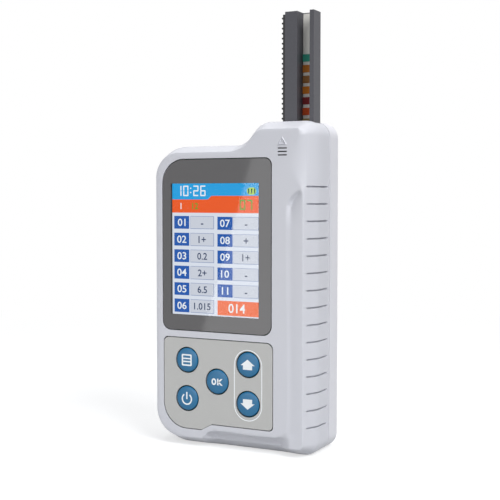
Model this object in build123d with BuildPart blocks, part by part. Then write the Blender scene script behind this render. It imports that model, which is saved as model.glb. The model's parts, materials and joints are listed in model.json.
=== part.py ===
"""Hand-held urine strip analyzer with a motor-driven strip tray.

The front faces -Y, X runs to the viewer's right and Z is up.  The origin is the middle of the
base.  All sizes are in millimetres.  The tray is modelled slid out of the top of the case.
"""

import os
from math import cos, pi, radians, sin, sqrt, tan

from build123d import *

os.makedirs("parts", exist_ok=True)

# ---- display and keypad, which set the width and the height of the case --------------------
active_width = 38.4  # lit area of the display
active_height = 51.2
border_left = 3.75  # smoked border between the lit area and the edge of the window
border_right = 5.25
border_top = 9.35
border_bottom = 6.05
window_thickness = 1.0
window_corners = (3.7, 3.7, 2.9, 9.6)  # bottom left, bottom right, top right, top left

keypad_height = 35.6
keypad_thickness = 0.8
keypad_step_left = 0.4  # from the left edge of the window to that of the keypad
keypad_step_right = 0.6
keypad_corners = (10.0, 1.7, 2.6, 2.0)
keypad_notch_rise = 2.5
keypad_notch_run = 4.6
keypad_notch_x = 16.9  # from the left edge of the panel to the foot of the notch
keypad_notch_radii = (1.2, 1.5)
keypad_base = 6.9  # from the base of the case to the lowest edge of the panel
panel_gap = 3.0  # plain strip between the keypad and the window
part_gap = 0.1  # round a panel in its seat
overrun = 1.0  # how far a cutting or joining shape runs past its partner

# ---- case ----------------------------------------------------------------------------------
margin_left = 6.3  # from the side of the case to the window
margin_right = 16.3
margin_top = 5.3  # from the window to the top of the shoulder
tower_rise = 8.6  # how far the tray tower stands above the shoulder
tower_width = 23.5  # from the head of the ramp to the right side
ramp_angle = 50.0
front_shell_depth = 17.4
rear_shell_depth = 10.6
wall = 2.0
front_wall = 2.2
side_profile = (  # depth behind the front face, and how far the side stands in there
    (0.0, 3.15),
    (1.3, 2.1),
    (4.6, 0.6),
    (10.5, 0.0),
)
radius_base_left = 14.0
radius_base_right = 5.5
radius_top_right = 6.0
radius_ramp = 8.0
radius_shoulder = 13.0
rear_edge_radius = 3.2
seam_width = 0.35
seam_depth = 0.35

# ---- keys ----------------------------------------------------------------------------------
key_radius = 4.85
key_gap = 0.3
key_proud = 0.45
key_edge_radius = 0.25
key_travel = 0.5
key_column_pitch = 13.35
key_row_pitch = 7.55
key_centre_x = 23.9  # from the left edge of the panel to the middle column
key_centre_z = 19.4  # from the lowest edge of the panel to the middle row
flange_overlap = 0.95
flange_thickness = 0.8
stem_radius = 1.5
plunger_radius = 1.75
plunger_clearance = 0.05
plunger_length = 2.4
plunger_proud = 1.0
plunger_end_gap = 0.15
switch_size = 6.0
switch_height = 3.4

# ---- display module and main board ---------------------------------------------------------
glass_edge = 1.8  # from the lit area to the edge of the glass, at the sides and top
glass_foot = 4.5  # the same at the bottom, where the driver sits
glass_thickness = 1.5
glass_gap = 0.15  # between the window and the glass
opening_gap = 0.25  # round the glass in the front wall
backlight_thickness = 2.2
backlight_edge = 0.4
backlight_corner = 0.8
holder_plate = 1.0
holder_leg_radius = 1.8
flex_thickness = 0.2
flex_width = 12.0
flex_drop = 1.4  # straight run below the glass
board_depth = 8.8  # from the front face to the face of the main board
board_thickness = 1.6
board_gap = 1.5  # from the board to the inside of the case
board_right_gap = 1.3  # from the glass to the right edge of the board
board_foot_drop = 2.2  # from the lowest edge of the keypad to that of the board
board_head_rise = 0.6  # from the top of the window to that of the board
board_corner = 1.0
board_notch_gap = 0.6  # round the columns for the case screws
board_screw_radius = 0.8
board_boss_radius = 2.2
board_screw_depth = 3.8  # how far a screw goes into its column
board_hole_depth = 4.0
board_boss_inset_left = 3.8  # columns between the keys and the display, from the wall
board_boss_inset_right = 2.3  # and from the right edge of the board
board_boss_inset_top_left = 6.0
board_boss_inset_top_right = 3.3
board_boss_drop = 1.8  # from the top of the window
board_boss_foot_left = (11.0, 5.1)  # from the left side and the foot of the keypad
board_boss_foot_right = (2.0, 1.6)  # from the right edge of the board and the same foot
screw_head_radius = 1.6
screw_head_height = 1.0
screw_fit = 0.02  # radial room round a screw

# ---- tray, strip and guide -----------------------------------------------------------------
tray_setback = 10.8  # from the front face to the front of the tray
tray_thickness = 6.4
tray_side_gap = 3.95  # from the side of the case to the tray
rail_left = 5.05
channel_width = 5.1
rail_right = 1.7
tray_floor = 0.7
tray_length = 112.0
tray_out = 41.4  # length of tray above the case with the tray slid out
strip_width = 4.9
strip_thickness = 0.3
strip_length = 105.0
strip_drop = 0.4  # from the top of the tray to the top of the strip
pad_height = 2.75
pad_pitch = 4.05
pad_thickness = 0.5
pad_count = 11
pad_first = 15.3  # from the top of the strip to the first pad
slot_gap = 0.3  # round the tray where it leaves the case
slide_gap = 0.1  # between the tray and its guide
guide_plate = 1.2
guide_wall = 1.4
guide_foot = 8.0  # from the base to the underside of the guide
guide_foot_height = 3.0
guide_top = 5.0  # from the top of the case to the guide
guide_overhang = 2.4  # from the tray to the left edge of the plate, under the rack
guide_boss_left = 1.3  # columns for the guide, from the sides of the tray
guide_boss_right = 2.1
guide_boss_rise = 5.0
guide_boss_drop = 7.6
guide_screw_depth = 3.4
guide_hole_depth = 3.6
cover_screw_insets = (2.3, 1.5)  # from the left and the right side of the tray
cover_screw_depth = 3.8
cover_hole_depth = 4.0
cover_window_edge = 0.5  # from the channel to the side of the reader's window
tray_chamfer = 0.4
rack_end = 1.0  # plain length at each end of the rack
rack_lip = 1.0  # depth of the lip in front of the teeth, ahead of the pinion
rack_lip_inset = 0.5  # from the tips of the teeth to the edge of the lip
mouth_depth = 6.0

# ---- drive ---------------------------------------------------------------------------------
rack_module = 0.6
rack_addendum = 0.54
rack_dedendum = 0.84
pinion_teeth = 16
gear_module = 0.5
gear_addendum = 0.47
gear_dedendum = 0.7
gear_teeth = 40
motor_teeth = 14
pressure_angle = 20.0
backlash = 0.08
mesh_gap = 0.05  # added to each centre distance
flank_steps = 3
gear_hole_count = 5
gear_hole_radius = 1.7
gear_hole_circle = 6.0
gear_drop = 60.0  # from the top of the case to the axes of the gears
gear_width = 2.0
gear_lift = 0.5  # from the guide plate to the gears behind it
pinion_width = 5.0
shaft_radius = 1.5
shaft_front_end = 0.4  # shaft in front of the pinion
shaft_rear_end = 0.6
bush_radius = 2.6
bush_gap = 0.05
bush_length = 1.5
motor_radius = 7.5
motor_gap = 0.3  # between the motor and the board in front of it
motor_shaft_radius = 0.75
motor_shaft_depth = 3.0
motor_shaft_hole = 2.2
motor_shaft_end = 0.3
flange_span = 20.0  # between the two screws that hold the motor
motor_flange_width = 5.0
motor_flange_thickness = 0.8
arm_edge = 1.5  # arm of the guide that carries the motor
arm_end = 2.4
arm_corner = 0.9
small_screw_radius = 0.6
small_head_radius = 1.2
small_head_height = 0.6
cover_window = 9.0  # height of the reader's window in the guide cover

# ---- optics --------------------------------------------------------------------------------
optics_drop = 15.6  # from the top of the case to the height that the reader looks at
optics_width = 9.8
optics_height = 14.0
optics_depth = 4.6
optics_wall = 1.2
ear_reach = 3.0  # ears that hold the reader: distance between their screws, less its height
ear_width = 3.6
lens_radius = 2.0
lens_length = 1.6
sensor_board = 1.0
sensor_chip = 2.4
led_size = 1.6
led_spread = 3.6
chip_height = 0.9

# ---- power, sound and sockets --------------------------------------------------------------
cell_width = 33.0
cell_gear_gap = 2.53  # from the gears to the cell below them
cell_thickness = 6.8
cell_left_gap = 8.8  # from the side of the case to the cell
cell_base = 9.0
cell_corner = 1.5
foam_thickness = 0.5
foam_edge = 2.0
rib_thickness = 1.2
rib_height = 5.0
rib_gap = 0.3
socket_width = 7.6
socket_height = 2.8
socket_depth = 5.4
socket_shell = 0.35
socket_corner = 0.5
tongue_thickness = 0.6
tongue_setback = 0.6
tongue_side_gap = 1.2
socket_setback = 0.8  # from the side of the case to the mouth of the socket
socket_drop = 50.7  # from the top of the board
socket_gap = 0.4
buzzer_radius = 4.5
buzzer_height = 3.0
buzzer_hole_radius = 0.9
buzzer_hole_depth = 0.5
buzzer_x = 14.5  # from the side of the board
buzzer_drop = 15.5  # from the top of the board
plug_width = 6.0
plug_height = 4.5
plug_depth = 3.6
plug_inset = 12.0
plug_rise = 6.5
eye_width = 4.0
eye_height = 5.0
eye_depth = 3.6
eye_rise = 8.0  # from the top of the keypad
eye_lens_radius = 0.9
eye_lens_depth = 0.4
ribbon_width = 5.0
ribbon_inset = 0.4
ribbon_run = 2.0  # from its end on the board to its bend
chips = (  # from the left and the top of the board, then width, height and thickness
    (16.0, 28.7, 10.0, 10.0, 1.2),
    (28.5, 26.7, 6.0, 5.0, 1.0),
    (28.0, 18.7, 4.0, 4.0, 0.9),
    (38.5, 32.7, 4.0, 4.0, 0.9),
    (16.5, 37.7, 3.2, 2.5, 0.8),
    (8.5, 42.2, 3.0, 3.0, 0.9),
)

# ---- case screws, label and small marks ------------------------------------------------------
case_boss_radius = 2.3
rear_boss_radius = 2.6
case_boss_inset = 5.5  # left columns, from the side of the case
case_boss_rise = 3.7  # lower left column, from the middle row of keys
case_boss_drop = 17.4  # upper left column, from the shoulder
tower_boss_inset = 2.3  # from the head of the ramp
tower_boss_drop = 7.5
foot_boss_inset = 8.0  # lower right column, from the right side
foot_boss_rise = 5.3
case_screw_radius = 1.0
case_screw_length = 10.0
case_head_radius = 1.6
case_head_height = 1.3
case_head_gap = 0.2
drive_recess_span = 2.1
drive_recess_width = 0.4
drive_recess_depth = 0.8
case_seat = 2.8  # from the parting face to the seat of the screw head
label_width = 34.0
label_height = 22.0
label_thickness = 0.25
label_rise = 9.0  # above the middle of the case
label_gap = 0.15
label_corner = 2.0
groove_count = 15
groove_drop = 16.32  # from the shoulder to the uppermost groove
groove_first = 11.2
groove_width = 0.5
groove_depth = 0.6
groove_front = 2.0  # from the front face to the front end of a groove
groove_rear = 1.5  # from the parting face to the rear end of a groove
scoop_depth = 0.8
scoop_width = 5.9  # from the edge of the raised panel to the edge of the front face
scoop_foot = 2.9
scoop_drop = 18.6  # from the top of the window to where the scoop starts to run out
scoop_rise = 7.5  # height over which the scoop runs out at its top
scoop_left = 26.0  # from the left side of the case to the left end of the foot
scoop_corner = 3.0
scoop_bulge = (0.3, 0.62)  # middle of the arc at its top, in parts of its width and rise
mark_drop = 9.2  # from the top of the case to the uppermost bar of the mark
mark_x = 11.85  # from the right side to the middle of the mark
mark_width = 3.9
mark_bar = 0.5
mark_pitch = 1.28
mark_relief = 0.3
mark_rise = 0.1
mark_head = 3.1  # height of the arrow head

# ---- places worked out from the sizes above --------------------------------------------------
window_width = border_left + active_width + border_right
window_height = border_bottom + active_height + border_top
case_width = margin_left + window_width + margin_right
case_depth = front_shell_depth + rear_shell_depth
keypad_top = keypad_base + keypad_height
window_base = keypad_top + panel_gap
shoulder_top = window_base + window_height + margin_top
case_height = shoulder_top + tower_rise
front_inset = side_profile[0][1]
case_left = -case_width / 2
case_right = case_width / 2
front_y = (key_proud - case_depth) / 2  # the keys stand out of the front
rear_y = front_y + case_depth
parting_y = front_y + front_shell_depth
inner_front_y = front_y + front_wall
inner_rear_y = rear_y - wall
window_left = case_left + margin_left
window_right = window_left + window_width
keypad_left = window_left + keypad_step_left
keypad_right = window_right + keypad_step_right
ramp_foot_x = case_right - tower_width - tower_rise / tan(radians(ramp_angle))
active_x = window_left + border_left + active_width / 2
active_z = window_base + border_bottom + active_height / 2
glass_width = active_width + 2 * glass_edge
glass_height = active_height + glass_edge + glass_foot
glass_z = active_z + (glass_edge - glass_foot) / 2
glass_front_y = front_y + window_thickness + glass_gap
glass_rear_y = glass_front_y + glass_thickness
backlight_rear_y = glass_rear_y + backlight_thickness
board_front_y = front_y + board_depth
board_rear_y = board_front_y + board_thickness
board_left = case_left + wall + board_gap
board_right = active_x + glass_width / 2 + board_right_gap
board_top = window_base + window_height + board_head_rise
socket_z = board_top - socket_drop
eye_z = keypad_top + eye_rise
tray_right = case_right - tray_side_gap
tray_left = tray_right - rail_right - channel_width - rail_left
channel_left = tray_left + rail_left
channel_x = channel_left + channel_width / 2
tray_front_y = front_y + tray_setback
tray_rear_y = tray_front_y + tray_thickness
channel_y = tray_rear_y - tray_floor
tray_top = case_height + tray_out
tray_base = tray_top - tray_length
plate_front_y = tray_rear_y + slide_gap
plate_rear_y = plate_front_y + guide_plate
cover_rear_y = tray_front_y - slide_gap
cover_front_y = cover_rear_y - guide_plate
guide_top_z = case_height - guide_top
rack_pitch_x = tray_left - rack_dedendum
pinion_radius = rack_module * pinion_teeth / 2
gear_x = rack_pitch_x - pinion_radius - mesh_gap
gear_y = plate_rear_y + gear_lift
gear_z = case_height - gear_drop
cell_top = gear_z - gear_module * gear_teeth / 2 - gear_addendum - cell_gear_gap
optics_z = case_height - optics_drop
label_z = case_height / 2 + label_rise
scoop_top = window_base + window_height - scoop_drop
groove_pitch = (shoulder_top - groove_drop - groove_first) / (groove_count - 1)
motor_x = gear_x - gear_module * (gear_teeth + motor_teeth) / 2 - mesh_gap
motor_front_y = board_rear_y + motor_gap
key_x = keypad_left + key_centre_x
key_z = keypad_base + key_centre_z
keys = {
    "menu": (key_x - key_column_pitch, key_z + key_row_pitch),
    "power": (key_x - key_column_pitch, key_z - key_row_pitch),
    "ok": (key_x, key_z),
    "up": (key_x + key_column_pitch, key_z + key_row_pitch),
    "down": (key_x + key_column_pitch, key_z - key_row_pitch),
}
key_front_y = front_y - key_proud
flange_rear_y = inner_front_y + flange_thickness
switch_front_y = board_front_y - switch_height
plunger_front_y = switch_front_y - plunger_proud
case_bosses = (
    (case_left + case_boss_inset, key_z + case_boss_rise),
    (case_left + case_boss_inset, shoulder_top - case_boss_drop),
    (case_right - tower_width + tower_boss_inset, case_height - tower_boss_drop),
    (case_right - foot_boss_inset, foot_boss_rise),
)
board_bosses = (
    (case_left + wall + board_boss_inset_left, keypad_top + panel_gap / 2),
    (board_right - board_boss_inset_right, keypad_top + panel_gap / 2),
    (case_left + wall + board_boss_inset_top_left, window_base + window_height - board_boss_drop),
    (board_right - board_boss_inset_top_right, window_base + window_height - board_boss_drop),
    (board_right - board_boss_foot_right[0], keypad_base + board_boss_foot_right[1]),
    (case_left + board_boss_foot_left[0], keypad_base + board_boss_foot_left[1]),
)
guide_bosses = tuple(
    (x, z)
    for z in (guide_foot + guide_foot_height + guide_boss_rise, guide_top_z - guide_boss_drop)
    for x in (tray_left + guide_boss_left, tray_right - guide_boss_right)
)


def facing(y):
    """Sketch plane parallel to the front at depth y; extrusions run towards the viewer."""
    return Plane.XZ.offset(-y)


def case_outline(inset):
    """Front view of the case, drawn in by the inset, as a face in the current sketch."""
    left, right = case_left + inset, case_right - inset
    shift = inset * tan(radians(ramp_angle / 2))
    foot = ramp_foot_x + shift
    head = case_right - tower_width + shift
    corners = (
        (left, inset, radius_base_left - inset),
        (right, inset, radius_base_right - inset),
        (right, case_height - inset, radius_top_right - inset),
        (head, case_height - inset, radius_ramp - inset),
        (foot, shoulder_top - inset, radius_ramp + inset),
        (left, shoulder_top - inset, radius_shoulder - inset),
    )
    with BuildLine() as outline:
        FilletPolyline(*[c[:2] for c in corners], radius=[c[2] for c in corners], close=True)
    make_face(outline.edges())


def side_inset(y):
    """How far the side of the case stands in from its widest outline at depth y."""
    depth = y - front_y
    for (near, inset), (far, next_inset) in zip(side_profile, side_profile[1:]):
        if depth < far:
            return inset + (next_inset - inset) * (depth - near) / (far - near)
    return 0.0


def stacked_case(first_y, inset, mode=Mode.ADD):
    """The case from a depth to the parting face, in straight steps, drawn in by the inset."""
    ys = [first_y] + [front_y + d for d, _ in side_profile if front_y + d > first_y]
    for near, far in zip(ys, ys[1:]):
        with BuildSketch(facing(near)) as near_face:
            case_outline(side_inset(near) + inset)
        with BuildSketch(facing(far)) as far_face:
            case_outline(side_inset(far) + inset)
        loft([near_face.sketch, far_face.sketch], ruled=True, mode=mode)
    with BuildSketch(facing(parting_y)) as rear_face:
        case_outline(inset)
    extrude(rear_face.sketch, amount=parting_y - ys[-1], mode=mode)


def rounded_box(left, right, base, top, radii):
    """Rectangle with its own radius at each corner, from the lower left anticlockwise."""
    points = ((left, base), (right, base), (right, top), (left, top))
    with BuildLine() as outline:
        FilletPolyline(*points, radius=list(radii), close=True)
    make_face(outline.edges())


def keypad_outline(grow=0.0):
    """Outline of the keypad with its notched lower edge, grown by the given amount."""
    left, right = keypad_left - grow, keypad_right + grow
    low, high = keypad_base - grow, keypad_top + grow
    foot = keypad_left + keypad_notch_x - grow
    step = keypad_base + keypad_notch_rise - grow
    points = (
        (left, low),
        (foot, low),
        (foot + keypad_notch_run, step),
        (right, step),
        (right, high),
        (left, high),
    )
    base_left, base_right, top_right, top_left = keypad_corners
    radii = [base_left, *keypad_notch_radii, base_right, top_right, top_left]
    with BuildLine() as outline:
        FilletPolyline(*points, radius=radii, close=True)
    make_face(outline.edges())


def board_outline():
    """Outline of the main board, clear of the case screws."""
    low = keypad_base - board_foot_drop
    base_radius = radius_base_left - wall - board_gap
    with BuildLine() as outline:
        FilletPolyline(
            (board_left, low),
            (board_right, low),
            (board_right, board_top),
            (board_left, board_top),
            radius=[base_radius, board_corner, board_corner, radius_shoulder - wall - board_gap],
            close=True,
        )
    make_face(outline.edges())
    for x, z in case_bosses[:2]:
        with Locations((x, z)):
            Circle(case_boss_radius + board_notch_gap, mode=Mode.SUBTRACT)
        with Locations((x - case_boss_radius, z)):
            notch = 2 * case_boss_radius
            Rectangle(notch, notch + 2 * board_notch_gap, mode=Mode.SUBTRACT)


def involute(base_radius, radius):
    """Point of the involute of the base circle at the given radius, rooted on the X axis."""
    roll = sqrt(max(0.0, (radius / base_radius) ** 2 - 1))
    return (
        base_radius * (cos(roll) + roll * sin(roll)),
        base_radius * (sin(roll) - roll * cos(roll)),
    )


def spur_gear(x, z, teeth, module, addendum, dedendum, phase):
    """Spur gear outline centred on x and z, with a tooth at the phase angle in degrees."""
    pitch = module * teeth / 2
    base = pitch * cos(radians(pressure_angle))
    root, tip = pitch - dedendum, pitch + addendum
    spread = tan(radians(pressure_angle)) - radians(pressure_angle)
    half = (pi * module / 2 - backlash) / (2 * pitch) + spread
    steps = [base + (tip - base) * k / flank_steps for k in range(flank_steps + 1)]
    points = []
    for tooth in range(teeth):
        middle = radians(phase) + 2 * pi * tooth / teeth
        flank = [(root, 0.0)] + [involute(base, r) for r in steps]
        for side, run in ((-1, flank), (1, reversed(flank))):
            turn = middle + side * half
            for u, v in run:
                across = u * cos(turn) + side * v * sin(turn)
                up = u * sin(turn) - side * v * cos(turn)
                points.append((x + across, z + up))
    with BuildLine() as outline:
        Polyline(*points, close=True)
    make_face(outline.edges())


def finish(piece, name):
    """Label a finished piece and write it."""
    piece.part.label = name
    export_step(piece.part, f"parts/{name}.step")


def block(left, right, near, far, base, top, mode=Mode.ADD):
    """Box between two X, two Y and two Z values."""
    with Locations(((left + right) / 2, (near + far) / 2, (base + top) / 2)):
        Box(right - left, far - near, top - base, mode=mode)


def rod(x, z, near, far, radius, mode=Mode.ADD):
    """Round bar along Y between two depths."""
    with BuildSketch(facing(far)) as disc:
        with Locations((x, z)):
            Circle(radius)
    extrude(disc.sketch, amount=far - near, mode=mode)


# ---- front shell ---------------------------------------------------------------------------
def scoop_wedge(left, base):
    """Finger scoop: deepest beside the raised panel, running out at the edge of the front."""
    edge_x = case_right - front_inset
    deep_x = edge_x - scoop_width
    edge_z = front_inset
    deep_z = edge_z + scoop_foot
    high_z = scoop_top + scoop_rise + overrun
    with BuildPart() as wedge:
        with BuildSketch(Plane.XY.offset(base)):
            with BuildLine():
                Polyline(
                    (left, front_y - overrun),
                    (left, front_y + scoop_depth),
                    (deep_x, front_y + scoop_depth),
                    (edge_x, front_y),
                    (edge_x, front_y - overrun),
                    close=True,
                )
            make_face()
        extrude(amount=high_z - base)
        with BuildSketch(Plane.YZ.offset(left)):
            with BuildLine():
                Polyline(
                    (front_y - overrun, edge_z),
                    (front_y, edge_z),
                    (front_y + scoop_depth, deep_z),
                    (front_y + scoop_depth, high_z),
                    (front_y - overrun, high_z),
                    close=True,
                )
            make_face()
        extrude(amount=edge_x - left, mode=Mode.INTERSECT)
        with BuildSketch(facing(front_y + scoop_depth)):
            with BuildLine():
                run = scoop_foot * 2
                start = case_left + scoop_left
                l1 = Line((start, edge_z), (edge_x, edge_z))
                l2 = Line(l1 @ 1, (edge_x, scoop_top + scoop_rise))
                l3 = ThreePointArc(
                    l2 @ 1,
                    (deep_x + scoop_width * scoop_bulge[0], scoop_top + scoop_rise * scoop_bulge[1]),
                    (deep_x, scoop_top),
                )
                l4 = FilletPolyline(
                    l3 @ 1, (deep_x, deep_z), (start + run, deep_z), radius=scoop_corner
                )
                Line(l4 @ 1, (start, edge_z))
            make_face()
        extrude(amount=scoop_depth + overrun, mode=Mode.INTERSECT)
    return wedge.part


with BuildPart() as front_shell:
    stacked_case(front_y, 0)
    stacked_case(inner_front_y, wall, mode=Mode.SUBTRACT)
    # seats for the window and the keypad, and what shows through them
    with BuildSketch(facing(front_y)):
        rounded_box(
            window_left, window_right, window_base, window_base + window_height, window_corners
        )
    extrude(amount=-window_thickness, mode=Mode.SUBTRACT)
    with BuildSketch(facing(front_y)):
        with Locations((active_x, glass_z)):
            Rectangle(glass_width + 2 * opening_gap, glass_height + 2 * opening_gap)
    extrude(amount=-front_wall, mode=Mode.SUBTRACT)
    with BuildSketch(facing(front_y)):
        keypad_outline()
    extrude(amount=-keypad_thickness, mode=Mode.SUBTRACT)
    with BuildSketch(facing(front_y)):
        with Locations(*keys.values()):
            Circle(key_radius + key_gap)
    extrude(amount=-front_wall, mode=Mode.SUBTRACT)
    # columns for the case screws and for the board screws
    for x, z in case_bosses:
        rod(x, z, inner_front_y, parting_y, case_boss_radius)
    for x, z in board_bosses:
        rod(x, z, inner_front_y, board_front_y, board_boss_radius)
    for x, z in case_bosses:
        tip_y = parting_y + case_seat - case_screw_length
        rod(x, z, tip_y, parting_y, case_screw_radius + screw_fit, mode=Mode.SUBTRACT)
    for x, z in board_bosses:
        tip_y = board_front_y - board_hole_depth
        rod(x, z, tip_y, board_front_y, board_screw_radius + screw_fit, mode=Mode.SUBTRACT)
    # mouth for the tray, open to the rear until the rear shell closes it
    block(
        tray_left - rack_addendum - rack_dedendum - slot_gap, tray_right + slot_gap,
        tray_front_y - slot_gap, parting_y,
        case_height - mouth_depth, case_height + overrun,
        mode=Mode.SUBTRACT,
    )
    # socket in the left side
    block(
        case_left - overrun, case_left + wall,
        board_rear_y - socket_gap, board_rear_y + socket_height + socket_gap,
        socket_z - socket_width / 2 - socket_gap, socket_z + socket_width / 2 + socket_gap,
        mode=Mode.SUBTRACT,
    )
    # finger scoop and grip grooves
    add(scoop_wedge(case_left + scoop_left, 0), mode=Mode.SUBTRACT)
    bends = [front_y + depth for depth, _ in side_profile if depth > groove_front]
    groove_ys = (front_y + groove_front, *bends, parting_y - groove_rear)
    for k in range(groove_count):
        with BuildSketch(Plane.XY.offset(groove_first + k * groove_pitch - groove_width / 2)):
            with BuildLine():
                inner = [(case_right - side_inset(y) - groove_depth, y) for y in groove_ys]
                outer = [(case_right + overrun, y) for y in (groove_ys[-1], groove_ys[0])]
                Polyline(*inner, *outer, close=True)
            make_face()
        extrude(amount=groove_width, mode=Mode.SUBTRACT)
    # mark beside the tray: a raised arrow head over three sunk bars
    bar_z = case_height - mark_drop
    with BuildSketch(facing(front_y)):
        with BuildLine():
            Polyline(
                (case_right - mark_x - mark_width / 2, bar_z + mark_pitch),
                (case_right - mark_x + mark_width / 2, bar_z + mark_pitch),
                (case_right - mark_x, bar_z + mark_pitch + mark_head),
                close=True,
            )
        make_face()
    extrude(amount=mark_rise)
    with BuildSketch(facing(front_y)):
        with Locations(*[(case_right - mark_x, bar_z - k * mark_pitch) for k in range(3)]):
            SlotOverall(mark_width, mark_bar)
    extrude(amount=-mark_relief, mode=Mode.SUBTRACT)
finish(front_shell, "front_shell")


# ---- rear shell ----------------------------------------------------------------------------
with BuildPart() as rear_shell:
    seam_y = parting_y + seam_width
    with BuildSketch(facing(rear_y)):
        case_outline(0)
    extrude(amount=rear_y - seam_y)
    fillet(rear_shell.faces().sort_by(Axis.Y)[-1].edges(), rear_edge_radius)
    with BuildSketch(facing(seam_y)):
        case_outline(seam_depth)
    extrude(amount=seam_width)
    with BuildSketch(facing(inner_rear_y)):
        case_outline(wall)
    extrude(amount=inner_rear_y - parting_y, mode=Mode.SUBTRACT)
    for x, z in case_bosses:
        rod(x, z, parting_y, inner_rear_y + wall / 2, rear_boss_radius)
    for x, z in guide_bosses:
        rod(x, z, plate_rear_y, inner_rear_y, board_boss_radius)
    for x, z in case_bosses:
        rod(x, z, parting_y, rear_y, case_screw_radius + screw_fit, mode=Mode.SUBTRACT)
        rod(x, z, parting_y + case_seat, rear_y, case_head_radius + case_head_gap, mode=Mode.SUBTRACT)
    for x, z in guide_bosses:
        tip_y = plate_rear_y + guide_hole_depth
        rod(x, z, plate_rear_y, tip_y, board_screw_radius + screw_fit, mode=Mode.SUBTRACT)
    # ribs above and below the cell
    cell_left = case_left + cell_left_gap
    for z in (cell_base - rib_gap - rib_thickness, cell_top + rib_gap):
        block(
            cell_left, cell_left + cell_width,
            inner_rear_y - rib_height, inner_rear_y,
            z, z + rib_thickness,
        )
    # seat for the label
    with BuildSketch(facing(rear_y)):
        with Locations((0, label_z)):
            RectangleRounded(label_width + 2 * label_gap, label_height + 2 * label_gap, label_corner)
    extrude(amount=label_thickness, mode=Mode.SUBTRACT)
finish(rear_shell, "rear_shell")

with BuildPart() as rear_label:
    with BuildSketch(facing(rear_y)):
        with Locations((0, label_z)):
            RectangleRounded(label_width, label_height, label_corner - label_gap)
    extrude(amount=label_thickness)
finish(rear_label, "rear_label")

with BuildPart() as case_screws:
    seat_y = parting_y + case_seat
    for x, z in case_bosses:
        rod(x, z, seat_y - case_screw_length, seat_y, case_screw_radius)
        rod(x, z, seat_y, seat_y + case_head_height, case_head_radius)
        with BuildSketch(facing(seat_y + case_head_height)):
            with Locations((x, z)):
                Rectangle(drive_recess_span, drive_recess_width)
                Rectangle(drive_recess_width, drive_recess_span)
        extrude(amount=drive_recess_depth, mode=Mode.SUBTRACT)
finish(case_screws, "case_screws")

# ---- window and keypad ---------------------------------------------------------------------
with BuildPart() as display_window:
    with BuildSketch(facing(front_y + window_thickness)):
        rounded_box(
            window_left + part_gap,
            window_right - part_gap,
            window_base + part_gap,
            window_base + window_height - part_gap,
            [r - part_gap for r in window_corners],
        )
    extrude(amount=window_thickness)
finish(display_window, "display_window")

with BuildPart() as keypad_panel:
    with BuildSketch(facing(front_y + keypad_thickness)):
        keypad_outline(-part_gap)
        with Locations(*keys.values()):
            Circle(key_radius + key_gap, mode=Mode.SUBTRACT)
    extrude(amount=keypad_thickness)
finish(keypad_panel, "keypad_panel")

for name, (x, z) in keys.items():
    with BuildPart() as key:
        rod(x, z, key_front_y, inner_front_y, key_radius)
        fillet(key.faces().sort_by(Axis.Y)[0].edges(), key_edge_radius)
        rod(x, z, inner_front_y, flange_rear_y, key_radius + key_gap + flange_overlap)
        rod(x, z, flange_rear_y, plunger_front_y, stem_radius)
    finish(key, f"key_{name}")
    with BuildPart() as plunger:
        rod(x, z, plunger_front_y, plunger_front_y + plunger_length, plunger_radius)
    finish(plunger, f"plunger_{name}")

with BuildPart() as tact_switches:
    bore_depth = plunger_length - plunger_proud + key_travel + plunger_end_gap
    for x, z in keys.values():
        half = switch_size / 2
        block(x - half, x + half, switch_front_y, board_front_y, z - half, z + half)
        bore_radius = plunger_radius + plunger_clearance
        rod(x, z, switch_front_y, switch_front_y + bore_depth, bore_radius, mode=Mode.SUBTRACT)
finish(tact_switches, "tact_switches")

# ---- display module ------------------------------------------------------------------------
with BuildPart() as lcd_glass:
    with BuildSketch(facing(glass_rear_y)):
        with Locations((active_x, glass_z)):
            Rectangle(glass_width, glass_height)
    extrude(amount=glass_thickness)
finish(lcd_glass, "lcd_glass")

with BuildPart() as lcd_backlight:
    with BuildSketch(facing(backlight_rear_y)):
        with Locations((active_x, glass_z)):
            Rectangle(glass_width + 2 * backlight_edge, glass_height + 2 * backlight_edge)
    extrude(amount=backlight_thickness)
    fillet(lcd_backlight.edges().filter_by(Axis.Y), backlight_corner)
finish(lcd_backlight, "lcd_backlight")

with BuildPart() as lcd_holder:
    plate_y = backlight_rear_y + holder_plate
    with BuildSketch(facing(plate_y)):
        with Locations((active_x, glass_z)):
            Rectangle(glass_width + 2 * backlight_edge, glass_height + 2 * backlight_edge)
    extrude(amount=holder_plate)
    leg_x = glass_width / 2 - holder_leg_radius
    leg_z = glass_height / 2 - holder_leg_radius
    for side in (-1, 1):
        for end in (-1, 1):
            x, z = active_x + side * leg_x, glass_z + end * leg_z
            rod(x, z, plate_y, board_front_y, holder_leg_radius)
finish(lcd_holder, "lcd_holder")

with BuildPart() as lcd_flex:
    flex_z = glass_z - glass_height / 2
    near_y, far_y = glass_rear_y - flex_thickness, glass_rear_y
    with BuildSketch(Plane.YZ.offset(active_x - flex_width / 2)):
        with BuildLine():
            Polyline(
                (near_y, flex_z),
                (far_y, flex_z),
                (far_y, flex_z - flex_drop + flex_thickness),
                (board_front_y, flex_z - 2 * flex_drop + flex_thickness),
                (board_front_y, flex_z - 2 * flex_drop),
                (near_y, flex_z - flex_drop),
                close=True,
            )
        make_face()
    extrude(amount=flex_width)
finish(lcd_flex, "lcd_flex")

# ---- main board ------------------------------------------------------------------------------
with BuildPart() as main_board:
    with BuildSketch(facing(board_rear_y)):
        board_outline()
        with Locations(*board_bosses):
            Circle(board_screw_radius + part_gap, mode=Mode.SUBTRACT)
    extrude(amount=board_thickness)
finish(main_board, "main_board")

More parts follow.
